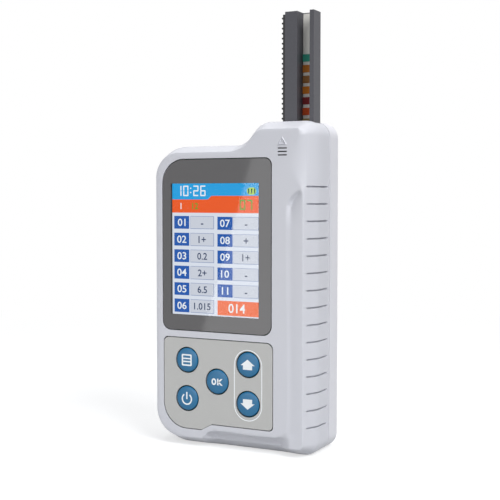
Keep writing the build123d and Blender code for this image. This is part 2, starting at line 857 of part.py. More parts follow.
with BuildPart() as board_screws:
    for x, z in board_bosses:
        rod(x, z, board_front_y - board_screw_depth, board_rear_y, board_screw_radius)
        rod(x, z, board_rear_y, board_rear_y + screw_head_height, screw_head_radius)
finish(board_screws, "board_screws")

with BuildPart() as board_chips:
    for reach, drop, width, height, thickness in chips:
        x, z = board_left + reach, board_top - drop
        block(
            x - width / 2, x + width / 2, board_rear_y, board_rear_y + thickness,
            z - height / 2, z + height / 2,
        )
finish(board_chips, "board_chips")

with BuildPart() as buzzer:
    buzzer_z = window_base + window_height - buzzer_drop
    far_y = board_rear_y + buzzer_height
    rod(board_left + buzzer_x, buzzer_z, board_rear_y, far_y, buzzer_radius)
    near_y = far_y - buzzer_hole_depth
    rod(board_left + buzzer_x, buzzer_z, near_y, far_y, buzzer_hole_radius, mode=Mode.SUBTRACT)
finish(buzzer, "buzzer")

with BuildPart() as usb_socket:
    mouth_x = case_left + socket_setback
    low, high = socket_z - socket_width / 2, socket_z + socket_width / 2
    far_y = board_rear_y + socket_height
    block(mouth_x, mouth_x + socket_depth, board_rear_y, far_y, low, high)
    fillet(usb_socket.edges().filter_by(Axis.X), socket_corner)
    block(
        mouth_x, mouth_x + socket_depth - socket_shell,
        board_rear_y + socket_shell, far_y - socket_shell,
        low + socket_shell, high - socket_shell,
        mode=Mode.SUBTRACT,
    )
    tongue_y = board_rear_y + socket_height / 2
    block(
        mouth_x + tongue_setback, mouth_x + socket_depth,
        tongue_y - tongue_thickness / 2, tongue_y + tongue_thickness / 2,
        low + tongue_side_gap, high - tongue_side_gap,
    )
finish(usb_socket, "usb_socket")

# ---- power -----------------------------------------------------------------------------------
with BuildPart() as battery_cell:
    cell_rear_y = inner_rear_y - foam_thickness
    block(
        cell_left, cell_left + cell_width,
        cell_rear_y - cell_thickness, cell_rear_y,
        cell_base, cell_top,
    )
    fillet(battery_cell.edges().filter_by(Axis.Z), cell_corner)
finish(battery_cell, "battery_cell")

with BuildPart() as cell_foam:
    block(
        cell_left + foam_edge, cell_left + cell_width - foam_edge,
        cell_rear_y, inner_rear_y,
        cell_base + foam_edge, cell_top - foam_edge,
    )
finish(cell_foam, "cell_foam")

with BuildPart() as battery_plug:
    plug_x, plug_z = board_left + plug_inset, cell_top + plug_rise
    block(
        plug_x - plug_width / 2, plug_x + plug_width / 2,
        board_rear_y, board_rear_y + plug_depth,
        plug_z - plug_height / 2, plug_z + plug_height / 2,
    )
finish(battery_plug, "battery_plug")

# ---- tray, strip and pads ----------------------------------------------------------------------
channel_base = tray_top - strip_drop - strip_length - slide_gap
with BuildPart() as strip_tray:
    block(tray_left, tray_right, tray_front_y, tray_rear_y, tray_base, tray_top)
    chamfer(strip_tray.faces().sort_by(Axis.Z)[0].edges(), tray_chamfer)
    block(
        channel_left, channel_left + channel_width,
        tray_front_y, channel_y,
        channel_base, tray_top,
        mode=Mode.SUBTRACT,
    )
    rack_pitch = pi * rack_module
    half_pitch = (pi * rack_module / 2 - backlash) / 2
    slope = tan(radians(pressure_angle))
    half_root = half_pitch + rack_dedendum * slope
    half_tip = half_pitch - rack_addendum * slope
    tip_x = rack_pitch_x - rack_addendum
    first = int((tray_base + rack_end - gear_z) / rack_pitch - 0.5)
    last = int((tray_top - rack_end - gear_z) / rack_pitch - 0.5)
    with BuildSketch(facing(tray_rear_y)):
        for k in range(first, last + 1):
            z = gear_z + (k + 0.5) * rack_pitch
            with BuildLine():
                Polyline(
                    (tray_left, z - half_root),
                    (tip_x, z - half_tip),
                    (tip_x, z + half_tip),
                    (tray_left, z + half_root),
                    close=True,
                )
            make_face()
    extrude(amount=tray_thickness)
    block(
        tip_x + rack_lip_inset, tray_left,
        tray_front_y, tray_front_y + rack_lip,
        tray_base + rack_end, tray_top - rack_end,
    )
finish(strip_tray, "strip_tray")

with BuildPart() as test_strip:
    strip_top = tray_top - strip_drop
    block(
        channel_x - strip_width / 2, channel_x + strip_width / 2,
        channel_y - strip_thickness, channel_y,
        strip_top - strip_length, strip_top,
    )
finish(test_strip, "test_strip")

with BuildPart() as reagent_pads:
    for k in range(pad_count):
        top = strip_top - pad_first - k * pad_pitch
        block(
            channel_x - strip_width / 2, channel_x + strip_width / 2,
            channel_y - strip_thickness - pad_thickness, channel_y - strip_thickness,
            top - pad_height, top,
        )
finish(reagent_pads, "reagent_pads")

# ---- guide that carries the tray, the gears and the motor --------------------------------------
guide_left = tray_left - guide_overhang
guide_right = tray_right + slide_gap + guide_wall
motor_reach = motor_radius + arm_edge
with BuildPart() as tray_guide:
    with BuildSketch(facing(plate_rear_y)):
        with Locations(((guide_left + guide_right) / 2, (guide_foot + guide_top_z) / 2)):
            Rectangle(guide_right - guide_left, guide_top_z - guide_foot)
        arm_left = motor_x - motor_reach
        arm_half = flange_span / 2 + arm_end
        with Locations(((arm_left + guide_left) / 2, gear_z)):
            RectangleRounded(guide_left - arm_left + 2 * overrun, 2 * arm_half, arm_corner)
        with Locations((gear_x, gear_z)):
            Circle(bush_radius + screw_fit, mode=Mode.SUBTRACT)
        with Locations((motor_x, gear_z)):
            Circle(motor_shaft_hole, mode=Mode.SUBTRACT)
            with Locations((0, flange_span / 2), (0, -flange_span / 2)):
                Circle(small_screw_radius + screw_fit, mode=Mode.SUBTRACT)
    extrude(amount=guide_plate)
    block(
        tray_right + slide_gap, guide_right, cover_rear_y, plate_front_y, guide_foot, guide_top_z
    )
    block(
        tray_left, guide_right,
        cover_rear_y, plate_front_y,
        guide_foot, guide_foot + guide_foot_height,
    )
    for x, z in guide_bosses:
        rod(x, z, plate_front_y, plate_rear_y, board_screw_radius + part_gap, mode=Mode.SUBTRACT)
        far_y = plate_front_y + small_head_height + part_gap
        rod(x, z, plate_front_y, far_y, screw_head_radius + part_gap, mode=Mode.SUBTRACT)
    cover_screw_z = guide_foot + guide_foot_height / 2
    cover_screw_xs = (tray_left + cover_screw_insets[0], tray_right - cover_screw_insets[1])
    for x in cover_screw_xs:
        hole, tip_y = small_screw_radius + screw_fit, cover_rear_y + cover_hole_depth
        rod(x, cover_screw_z, cover_rear_y, tip_y, hole, mode=Mode.SUBTRACT)
finish(tray_guide, "tray_guide")

with BuildPart() as guide_screws:
    for x, z in guide_bosses:
        head_y = plate_front_y + part_gap
        rod(x, z, head_y, head_y + small_head_height, screw_head_radius)
        tip_y = plate_rear_y + guide_screw_depth
        rod(x, z, head_y + small_head_height, tip_y, board_screw_radius)
finish(guide_screws, "guide_screws")

ear_zs = [optics_z + side * (optics_height + ear_reach) / 2 for side in (-1, 1)]
with BuildPart() as guide_cover:
    with BuildSketch(facing(cover_rear_y)):
        with Locations(((tray_left + guide_right) / 2, (guide_foot + guide_top_z) / 2)):
            Rectangle(guide_right - tray_left, guide_top_z - guide_foot)
        with Locations((channel_x, optics_z)):
            Rectangle(channel_width + 2 * cover_window_edge, cover_window, mode=Mode.SUBTRACT)
        with Locations(*[(x, cover_screw_z) for x in cover_screw_xs]):
            Circle(small_screw_radius + part_gap, mode=Mode.SUBTRACT)
        with Locations(*[(channel_x, z) for z in ear_zs]):
            Circle(small_screw_radius + screw_fit, mode=Mode.SUBTRACT)
    extrude(amount=guide_plate)
finish(guide_cover, "guide_cover")

with BuildPart() as cover_screws:
    for x in cover_screw_xs:
        rod(x, cover_screw_z, cover_front_y, cover_rear_y + cover_screw_depth, small_screw_radius)
        head_y = cover_front_y - small_head_height
        rod(x, cover_screw_z, head_y, cover_front_y, small_head_radius)
finish(cover_screws, "cover_screws")

# ---- drive -------------------------------------------------------------------------------------
bush_front_y = plate_front_y - (bush_length - guide_plate) / 2
with BuildPart() as shaft_bush:
    with BuildSketch(facing(bush_front_y + bush_length)):
        with Locations((gear_x, gear_z)):
            Circle(bush_radius)
            Circle(shaft_radius + bush_gap, mode=Mode.SUBTRACT)
    extrude(amount=bush_length)
finish(shaft_bush, "shaft_bush")

pinion_rear_y = bush_front_y - slide_gap
with BuildPart() as drive_shaft:
    shaft_front_y = pinion_rear_y - pinion_width - shaft_front_end
    rod(gear_x, gear_z, shaft_front_y, gear_y + gear_width + shaft_rear_end, shaft_radius)
finish(drive_shaft, "drive_shaft")

with BuildPart() as rack_pinion:
    with BuildSketch(facing(pinion_rear_y)):
        spur_gear(gear_x, gear_z, pinion_teeth, rack_module, rack_addendum, rack_dedendum, 0)
        with Locations((gear_x, gear_z)):
            Circle(shaft_radius, mode=Mode.SUBTRACT)
    extrude(amount=pinion_width)
finish(rack_pinion, "rack_pinion")

with BuildPart() as reduction_gear:
    with BuildSketch(facing(gear_y + gear_width)):
        spur_gear(gear_x, gear_z, gear_teeth, gear_module, gear_addendum, gear_dedendum, 180)
        with Locations((gear_x, gear_z)):
            Circle(shaft_radius, mode=Mode.SUBTRACT)
            with PolarLocations(gear_hole_circle, gear_hole_count):
                Circle(gear_hole_radius, mode=Mode.SUBTRACT)
    extrude(amount=gear_width)
finish(reduction_gear, "reduction_gear")

with BuildPart() as tray_motor:
    rod(motor_x, gear_z, motor_front_y, plate_front_y, motor_radius)
    with BuildSketch(facing(plate_front_y)):
        with Locations((motor_x, gear_z)):
            SlotCenterToCenter(flange_span, motor_flange_width, rotation=90)
    extrude(amount=motor_flange_thickness)
    bore_radius = motor_shaft_radius + bush_gap
    bore_y = plate_front_y - motor_shaft_depth - slide_gap
    rod(motor_x, gear_z, bore_y, plate_front_y, bore_radius, mode=Mode.SUBTRACT)
    for side in (-1, 1):
        z = gear_z + side * flange_span / 2
        hole = small_screw_radius + screw_fit
        near_y = plate_front_y - motor_flange_thickness
        rod(motor_x, z, near_y, plate_front_y, hole, mode=Mode.SUBTRACT)
finish(tray_motor, "tray_motor")

with BuildPart() as motor_screws:
    for side in (-1, 1):
        z = gear_z + side * flange_span / 2
        near_y = plate_front_y - motor_flange_thickness
        rod(motor_x, z, near_y, plate_rear_y, small_screw_radius)
        rod(motor_x, z, near_y - small_head_height, near_y, small_head_radius)
finish(motor_screws, "motor_screws")

with BuildPart() as motor_shaft:
    far_y = gear_y + gear_width + motor_shaft_end
    rod(motor_x, gear_z, plate_front_y - motor_shaft_depth, far_y, motor_shaft_radius)
finish(motor_shaft, "motor_shaft")

with BuildPart() as motor_pinion:
    with BuildSketch(facing(gear_y + gear_width)):
        half_tooth = 180 / motor_teeth
        spur_gear(
            motor_x, gear_z, motor_teeth, gear_module, gear_addendum, gear_dedendum, half_tooth
        )
        with Locations((motor_x, gear_z)):
            Circle(motor_shaft_radius, mode=Mode.SUBTRACT)
    extrude(amount=gear_width)
finish(motor_pinion, "motor_pinion")

with BuildPart() as tray_eye:
    block(
        board_right - eye_width, board_right,
        board_rear_y, board_rear_y + eye_depth,
        eye_z - eye_height / 2, eye_z + eye_height / 2,
    )
    with BuildSketch(Plane.YZ.offset(board_right)):
        with Locations((board_rear_y + eye_depth / 2, eye_z)):
            Circle(eye_lens_radius)
    extrude(amount=-eye_lens_depth, mode=Mode.SUBTRACT)
finish(tray_eye, "tray_eye")

# ---- reader ------------------------------------------------------------------------------------
optics_left, optics_right = channel_x - optics_width / 2, channel_x + optics_width / 2
optics_base, optics_top = optics_z - optics_height / 2, optics_z + optics_height / 2
optics_front_y = cover_front_y - optics_depth
with BuildPart() as optics_housing:
    block(optics_left, optics_right, optics_front_y, cover_front_y, optics_base, optics_top)
    block(
        optics_left + optics_wall, optics_right - optics_wall,
        optics_front_y, cover_front_y - optics_wall,
        optics_base + optics_wall, optics_top - optics_wall,
        mode=Mode.SUBTRACT,
    )
    with BuildSketch(facing(cover_front_y)):
        with Locations((channel_x, optics_z)):
            SlotCenterToCenter(optics_height + ear_reach, ear_width, rotation=90)
        with Locations(*[(channel_x, z) for z in ear_zs]):
            Circle(small_screw_radius + part_gap, mode=Mode.SUBTRACT)
    extrude(amount=optics_wall)
    rod(
        channel_x, optics_z, cover_front_y - optics_wall, cover_front_y,
        lens_radius + screw_fit, mode=Mode.SUBTRACT,
    )
finish(optics_housing, "optics_housing")

with BuildPart() as optics_screws:
    near_y = cover_front_y - optics_wall
    for z in ear_zs:
        rod(channel_x, z, near_y, cover_rear_y, small_screw_radius)
        rod(channel_x, z, near_y - small_head_height, near_y, small_head_radius)
finish(optics_screws, "optics_screws")

with BuildPart() as optics_lens:
    rod(channel_x, optics_z, cover_front_y - lens_length, cover_front_y, lens_radius)
finish(optics_lens, "optics_lens")

with BuildPart() as sensor_card:
    block(
        optics_left, optics_right,
        optics_front_y - sensor_board, optics_front_y,
        optics_base, optics_top,
    )
finish(sensor_card, "sensor_card")

with BuildPart() as sensor_lamps:
    for side in (-1, 1):
        z = optics_z + side * led_spread
        block(
            channel_x - led_size / 2, channel_x + led_size / 2,
            optics_front_y, optics_front_y + chip_height,
            z - led_size / 2, z + led_size / 2,
        )
finish(sensor_lamps, "sensor_lamps")

with BuildPart() as light_sensor:
    half = sensor_chip / 2
    far_y = optics_front_y + chip_height
    block(channel_x - half, channel_x + half, optics_front_y, far_y, optics_z - half, optics_z + half)
finish(light_sensor, "light_sensor")

with BuildPart() as sensor_ribbon:
    ribbon_y = optics_front_y - sensor_board / 2
    end_x = board_right - ribbon_inset
    with BuildSketch(Plane.XY.offset(optics_z - ribbon_width / 2)):
        with BuildLine():
            Polyline(
                (optics_left, ribbon_y),
                (optics_left, ribbon_y - flex_thickness),
                (end_x + ribbon_run, ribbon_y - flex_thickness),
                (end_x - flex_thickness, board_front_y),
                (end_x, board_front_y),
                (end_x + ribbon_run + flex_thickness, ribbon_y),
                close=True,
            )
        make_face()
    extrude(amount=ribbon_width)
finish(sensor_ribbon, "sensor_ribbon")
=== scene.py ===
"""Studio scene of a hand-held strip analyzer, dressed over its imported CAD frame.

Lengths in the dataclasses are millimetres in the frame of the part: X to the tray side, -Y out
of the display and Z up.  Meshes are written in metres.
"""

import json
import logging
from dataclasses import dataclass, field
from enum import Enum
from math import pi, radians, tan

import bmesh
import bpy
import numpy as np
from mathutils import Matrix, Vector
from mathutils.geometry import delaunay_2d_cdt

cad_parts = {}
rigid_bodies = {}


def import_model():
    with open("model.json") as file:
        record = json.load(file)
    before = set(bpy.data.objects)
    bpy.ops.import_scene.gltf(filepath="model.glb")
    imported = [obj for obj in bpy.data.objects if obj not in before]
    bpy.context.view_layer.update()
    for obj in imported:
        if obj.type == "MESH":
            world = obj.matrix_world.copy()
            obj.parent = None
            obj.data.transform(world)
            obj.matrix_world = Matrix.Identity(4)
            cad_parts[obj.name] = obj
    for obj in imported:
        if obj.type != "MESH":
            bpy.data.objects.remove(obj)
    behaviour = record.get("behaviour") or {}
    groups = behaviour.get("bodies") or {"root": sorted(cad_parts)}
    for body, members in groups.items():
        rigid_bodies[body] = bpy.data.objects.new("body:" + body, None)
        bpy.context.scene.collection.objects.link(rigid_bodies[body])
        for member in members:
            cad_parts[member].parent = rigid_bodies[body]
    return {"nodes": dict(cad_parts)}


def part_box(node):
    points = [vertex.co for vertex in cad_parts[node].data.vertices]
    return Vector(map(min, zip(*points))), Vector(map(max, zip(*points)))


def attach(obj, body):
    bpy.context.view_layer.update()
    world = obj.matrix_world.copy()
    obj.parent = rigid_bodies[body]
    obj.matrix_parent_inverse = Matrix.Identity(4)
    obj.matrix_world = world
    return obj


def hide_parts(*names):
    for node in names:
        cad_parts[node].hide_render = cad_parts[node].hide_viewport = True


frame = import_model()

log = logging.getLogger("scene")
MM = 0.001
STRAIGHT = 0.999  # least part of a normal along an axis where a run counts as straight


# ---- small tools ---------------------------------------------------------------------------
def srgb(red: int, green: int, blue: int) -> tuple[float, float, float, float]:
    """Scene-linear colour of an 8-bit display colour.

    Args:
        red: Red from 0 to 255.
        green: Green from 0 to 255.
        blue: Blue from 0 to 255.

    Returns:
        Linear red, green, blue and an alpha of 1.
    """

    def linear(value: float) -> float:
        """Scene-linear value of one channel.

        Args:
            value: Display value from 0 to 255.

        Returns:
            Value from 0 to 1.
        """
        share = value / 255
        return share / 12.92 if share <= 0.04045 else ((share + 0.055) / 1.055) ** 2.4

    return (linear(red), linear(green), linear(blue), 1.0)


def node_box(name: str) -> tuple[np.ndarray, np.ndarray]:
    """Box of a CAD node in millimetres.

    Args:
        name: Name of the node.

    Returns:
        Its lowest and its highest corner.
    """
    low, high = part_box(name)
    return np.array(low) / MM, np.array(high) / MM


def inside(points: np.ndarray, loop: np.ndarray) -> np.ndarray:
    """Which points lie inside a closed loop, by counting crossings of a ray along X.

    Args:
        points: Array of n points.
        loop: Corners of the loop.

    Returns:
        Array of n truth values.
    """
    hit = np.zeros(len(points), bool)
    x, z = points[:, 0], points[:, 1]
    for (x0, z0), (x1, z1) in zip(loop, np.roll(loop, -1, axis=0)):
        if z0 == z1:
            continue
        across = (z0 > z) != (z1 > z)
        hit ^= across & (x < x0 + (z - z0) * (x1 - x0) / (z1 - z0))
    return hit


def distance(points: np.ndarray, line: np.ndarray, closed: bool) -> np.ndarray:
    """Distance of each point from a polyline.

    Args:
        points: Array of n points.
        line: Corners of the polyline.
        closed: Whether the last corner joins the first.

    Returns:
        Array of n distances.
    """
    starts = line if closed else line[:-1]
    ends = np.roll(line, -1, axis=0) if closed else line[1:]
    best = np.full(len(points), np.inf)
    for a, b in zip(starts, ends):
        run = b - a
        share = np.clip(((points - a) @ run) / max(run @ run, 1e-12), 0, 1)
        gap = np.linalg.norm(points - (a + share[:, None] * run), axis=1)
        best = np.minimum(best, gap)
    return best


def smooth(value: np.ndarray) -> np.ndarray:
    """Smooth step: 3 t^2 - 2 t^3, where t is the value kept between 0 and 1.

    Args:
        value: Values of any size.

    Returns:
        Shares from 0 to 1.
    """
    t = np.clip(value, 0, 1)
    return t * t * (3 - 2 * t)


@dataclass
class Outline:
    """Closed outline with straight runs and round corners, anticlockwise from the front.

    Each corner is (x, z, radius).  Points on the arcs and runs carry their outward normals, so
    an inset outline is each point less the inset times its normal.

    Attributes:
        corners: Corners of the outline.
        arc_steps: Steps in a right angle of arc.
        spacing: Longest step along a straight run.
        stations: Places along an axis that get a point of their own, by number of the run.
        station_gap: Least distance of other points from those.
        end_share: Share of a run at either end where no such point is set.
        shortest: Length below which a run counts as none.
    """

    corners: list[tuple[float, float, float]]
    arc_steps: int = 12
    spacing: float = 4.0
    stations: dict[int, list[float]] = field(default_factory=dict)
    station_gap: float = 0.4
    end_share: float = 0.0005
    shortest: float = 1e-6

    def sample(self) -> tuple[np.ndarray, np.ndarray]:
        """Points and outward normals.

        Returns:
            Two arrays of n points and n normals.
        """
        count = len(self.corners)
        arcs = []
        for k in range(count):
            before = np.array(self.corners[k - 1][:2])
            here = np.array(self.corners[k][:2])
            after = np.array(self.corners[(k + 1) % count][:2])
            radius = self.corners[k][2]
            come = (here - before) / np.linalg.norm(here - before)
            go = (after - here) / np.linalg.norm(after - here)
            turn = np.arctan2(come[0] * go[1] - come[1] * go[0], come @ go)
            start = here - come * radius * tan(abs(turn) / 2)
            side = np.sign(turn)
            centre = start + side * radius * np.array([-come[1], come[0]])
            facing = np.arctan2(-come[0], come[1])
            steps = max(2, int(self.arc_steps * abs(turn) / (pi / 2)))
            angles = facing + turn * np.arange(steps + 1) / steps
            normals = np.stack([np.cos(angles), np.sin(angles)], 1)
            arcs.append((centre + side * radius * normals, normals))
        points, normals = [], []
        for k in range(count):
            points.extend(arcs[k][0])
            normals.extend(arcs[k][1])
            a, b = arcs[k][0][-1], arcs[(k + 1) % count][0][0]
            length = np.linalg.norm(b - a)
            if length < self.shortest:
                continue
            pieces = max(1, int(length / self.spacing))
            shares = set(np.round(np.arange(1, pieces) / pieces, 6))
            axis = int(np.argmax(np.abs(b - a)))
            extra = [(v - a[axis]) / (b[axis] - a[axis]) for v in self.stations.get(k, [])]
            extra = [s for s in extra if self.end_share < s < 1 - self.end_share]
            gap = self.station_gap
            shares = {s for s in shares if all(abs(s - e) * length > gap for e in extra)}
            for share in sorted(shares | set(extra)):
                points.append(a + (b - a) * share)
                normals.append(arcs[k][1][-1])
        return np.array(points), np.array(normals)


def make_object(
    name: str,
    points: np.ndarray,
    faces: list,
    materials: list[bpy.types.Material],
    slots: list[int] | None = None,
    sharp: float | None = 35.0,
) -> bpy.types.Object:
    """Mesh object at the origin from points in millimetres.

    Args:
        name: Name of the piece.
        points: Array of n by 3 points.
        faces: Corner numbers of each face.
        materials: Materials of the piece.
        slots: Material number of each face, or None for the first.
        sharp: Angle in degrees over which edges stay sharp, or None for flat faces.

    Returns:
        The new object.
    """
    mesh = bpy.data.meshes.new(name)
    mesh.from_pydata((np.asarray(points) * MM).tolist(), [], [list(map(int, f)) for f in faces])
    for material in materials:
        mesh.materials.append(material)
    if slots is not None:
        mesh.polygons.foreach_set("material_index", np.array(slots, np.int32))
    if sharp is not None:
        mesh.polygons.foreach_set("use_smooth", np.ones(len(mesh.polygons), bool))
        mesh.update()
        mesh.set_sharp_from_angle(angle=radians(sharp))
    mesh.update()
    piece = bpy.data.objects.new(name, mesh)
    bpy.context.scene.collection.objects.link(piece)
    return piece


class Slab:
    """Closed flat shapes of one thickness, collected into one mesh."""

    def __init__(self, near: float, far: float) -> None:
        """Start without shapes.

        Args:
            near: Depth of the front faces in millimetres.
            far: Depth of the rear faces.
        """
        self.near, self.far = near, far
        self.points: list = []
        self.faces: list = []

    def prism(self, loop: np.ndarray) -> None:
        """Add a straight prism.

        Args:
            loop: Corners (x, z), anticlockwise from the front.
        """
        n, start = len(loop), len(self.points)
        self.points += [(x, y, z) for y in (self.near, self.far) for x, z in loop]
        self.faces.append(list(range(start, start + n)))
        self.faces.append(list(range(start + 2 * n - 1, start + n - 1, -1)))
        for k in range(n):
            j = (k + 1) % n
            self.faces.append([start + k, start + n + k, start + n + j, start + j])

    def ring(self, outer: np.ndarray, inner: np.ndarray) -> None:
        """Add the band between two loops with as many corners each.

        Args:
            outer: Outer corners (x, z).
            inner: Inner corners (x, z).
        """
        n, start = len(outer), len(self.points)
        self.points += [
            (x, y, z) for y in (self.near, self.far) for loop in (outer, inner) for x, z in loop
        ]
        o0, i0, o1, i1 = (start + k * n for k in range(4))
        for k in range(n):
            j = (k + 1) % n
            self.faces.append([o0 + k, o0 + j, i0 + j, i0 + k])
            self.faces.append([o1 + j, o1 + k, i1 + k, i1 + j])
            self.faces.append([o0 + j, o0 + k, o1 + k, o1 + j])
            self.faces.append([i0 + k, i0 + j, i1 + j, i1 + k])

    def make(self, name: str, material: bpy.types.Material) -> bpy.types.Object:
        """Make the mesh.

        Args:
            name: Name of the piece.
            material: Its material.

        Returns:
            The new object.
        """
        return make_object(name, np.array(self.points), self.faces, [material], sharp=None)


def box_loop(left: float, right: float, base: float, top: float) -> np.ndarray:
    """Corners of a rectangle, anticlockwise from the front.

    Args:
        left: Lowest X.
        right: Highest X.
        base: Lowest Z.
        top: Highest Z.

    Returns:
        The four corners.
    """
    return np.array([(left, base), (right, base), (right, top), (left, top)])


def upright_slot(x: float, low: float, high: float, radius: float, steps: int = 20) -> np.ndarray:
    """Slot outline with half circles about (x, high) and (x, low).

    Args:
        x: Middle of the slot.
        low: Height of the lower centre.
        high: Height of the upper centre.
        radius: Half of its width.
        steps: Steps in a half circle.

    Returns:
        Corners, anticlockwise from the front.
    """
    a = pi * np.arange(steps + 1) / steps
    upper = np.stack([x + radius * np.cos(a), high + radius * np.sin(a)], 1)
    lower = np.stack([x - radius * np.cos(a), low - radius * np.sin(a)], 1)
    return np.concatenate([upper, lower])


def level_slot(left: float, right: float, z: float, radius: float, steps: int) -> np.ndarray:
    """Slot outline with half circles about (left, z) and (right, z).

    Args:
        left: X of the left centre.
        right: X of the right centre.
        z: Middle of the slot.
        radius: Half of its height.
        steps: Steps in a half circle.

    Returns:
        Corners, anticlockwise from the front.
    """
    a = pi * np.arange(steps + 1) / steps
    near = np.stack([left - radius * np.sin(a), z + radius * np.cos(a)], 1)
    far = np.stack([right + radius * np.sin(a), z - radius * np.cos(a)], 1)
    return np.concatenate([near, far])


# ---- materials -----------------------------------------------------------------------------
Feed = float | tuple | bpy.types.NodeSocket


class Graph:
    """Shader nodes of one material or world, written as calls."""

    def __init__(self, owner: bpy.types.Material | bpy.types.World) -> None:
        """Turn on the nodes.

        Args:
            owner: The material or world.
        """
        owner.use_nodes = True
        self.nodes, self.links = owner.node_tree.nodes, owner.node_tree.links

    def feed(self, node: bpy.types.Node, inputs: dict[str | int, Feed]) -> None:
        """Give inputs of a node their values or links.

        Args:
            node: The node.
            inputs: Value or feeding socket of each input.
        """
        for name, value in inputs.items():
            if isinstance(value, bpy.types.NodeSocket):
                self.links.new(value, node.inputs[name])
            else:
                node.inputs[name].default_value = value

    def add(
        self, kind: str, inputs: dict[str | int, Feed] | None = None, **settings: str | bool
    ) -> bpy.types.Node:
        """New node.

        Args:
            kind: Its type, without ShaderNode in front.
            inputs: Value or feeding socket of each input.
            settings: Its other properties.

        Returns:
            The node.
        """
        node = self.nodes.new(f"ShaderNode{kind}")
        for name, value in settings.items():
            setattr(node, name, value)
        self.feed(node, inputs or {})
        return node

    def math(self, operation: str, *values: Feed, clamp: bool = False) -> bpy.types.NodeSocket:
        """Result of a Math node.

        Args:
            operation: Its operation.
            values: Its inputs in order.
            clamp: Whether the result stays between 0 and 1.

        Returns:
            The result's socket.
        """
        return self.add("Math", dict(enumerate(values)), operation=operation, use_clamp=clamp).outputs[0]

    def blend(self, share: Feed, first: Feed, second: Feed, mode: str = "MIX") -> bpy.types.NodeSocket:
        """Colour mixed from two.

        Args:
            share: Share of the second.
            first: First colour.
            second: Second colour.
            mode: How they are mixed.

        Returns:
            The mixed colour's socket.
        """
        inputs = {"Factor": share, "A": first, "B": second}
        return self.add("Mix", inputs, data_type="RGBA", blend_type=mode).outputs["Result"]

    def mix(self, share: Feed, first: bpy.types.Node, second: bpy.types.Node) -> bpy.types.Node:
        """Shader mixed from two.

        Args:
            share: Share of the second.
            first: Node of the first shader.
            second: Node of the second shader.

        Returns:
            The mixing node.
        """
        return self.add("MixShader", {"Fac": share, 1: first.outputs[0], 2: second.outputs[0]})

    def surface(self, shader: bpy.types.Node, output: str = "Material Output") -> None:
        """Show a shader.

        Args:
            shader: Its node.
            output: Name of the output node.
        """
        self.links.new(shader.outputs[0], self.nodes[output].inputs["Surface"])

    def place(self) -> bpy.types.NodeSocket:
        """Place in the object's own coordinates.

        Returns:
            Its socket.
        """
        return self.add("TexCoord").outputs["Object"]

    def axes(self) -> bpy.types.bpy_prop_collection:
        """Separate X, Y and Z of the place.

        Returns:
            The three sockets.
        """
        return self.add("SeparateXYZ", {"Vector": self.place()}).outputs

    def between(self, value: Feed, low: float, high: float) -> bpy.types.NodeSocket:
        """Whether a value lies between two limits.

        Args:
            value: The value.
            low: Lower limit.
            high: Upper limit.

        Returns:
            Socket that is 1 between them and 0 outside.
        """
        above = self.math("GREATER_THAN", value, low)
        return self.math("MULTIPLY", above, self.math("LESS_THAN", value, high))

    def within(self, low: tuple[float, float], high: tuple[float, float]) -> bpy.types.NodeSocket:
        """Whether a place lies inside an upright rectangle.

        Args:
            low: Lower left corner in millimetres.
            high: Upper right corner in millimetres.

        Returns:
            Socket that is 1 inside it and 0 outside.
        """
        x, _, z = self.axes()
        in_x = self.between(x, low[0] * MM, high[0] * MM)
        return self.math("MULTIPLY", in_x, self.between(z, low[1] * MM, high[1] * MM))

    def tint(self, share: Feed, colour: tuple[float, float, float, float]) -> None:
        """Lay a second colour over the base colour.

        Args:
            share: Where it shows.
            colour: The second colour.
        """
        shader = self.nodes["Principled BSDF"]
        plain = shader.inputs["Base Color"].links[0].from_socket
        self.feed(shader, {"Base Color": self.blend(share, plain, colour)})

    def seen(self) -> bpy.types.NodeSocket:
        """Whether a ray comes from the camera, a glossy surface or a clear one.

        Returns:
            Socket that is 1 for those rays and 0 for others.
        """
        path = self.add("LightPath").outputs
        direct = self.math("ADD", path["Is Camera Ray"], path["Is Glossy Ray"])
        return self.math("ADD", direct, path["Is Transmission Ray"], clamp=True)


BROAD_SCALE, BROAD_DETAIL = 55.0, 3.0  # of the slow drift in colour
FINE_DETAIL, PAPER_DETAIL = 2.0, 6.0  # of the grain
BRUSH_STRETCH = 14.0  # how much finer brushed grain is along Z
ROUGH_SPREAD, ROUGH_LEAST = 0.25, 0.02
BUMP_STRENGTH = 0.6
COAT_ROUGHNESS = 0.08


class Kind(Enum):
    """How the fine surface of a finish is built up."""

    MOULDED = "moulded"
    POLISHED = "polished"
    BRUSHED = "brushed"
    PAPER = "paper"


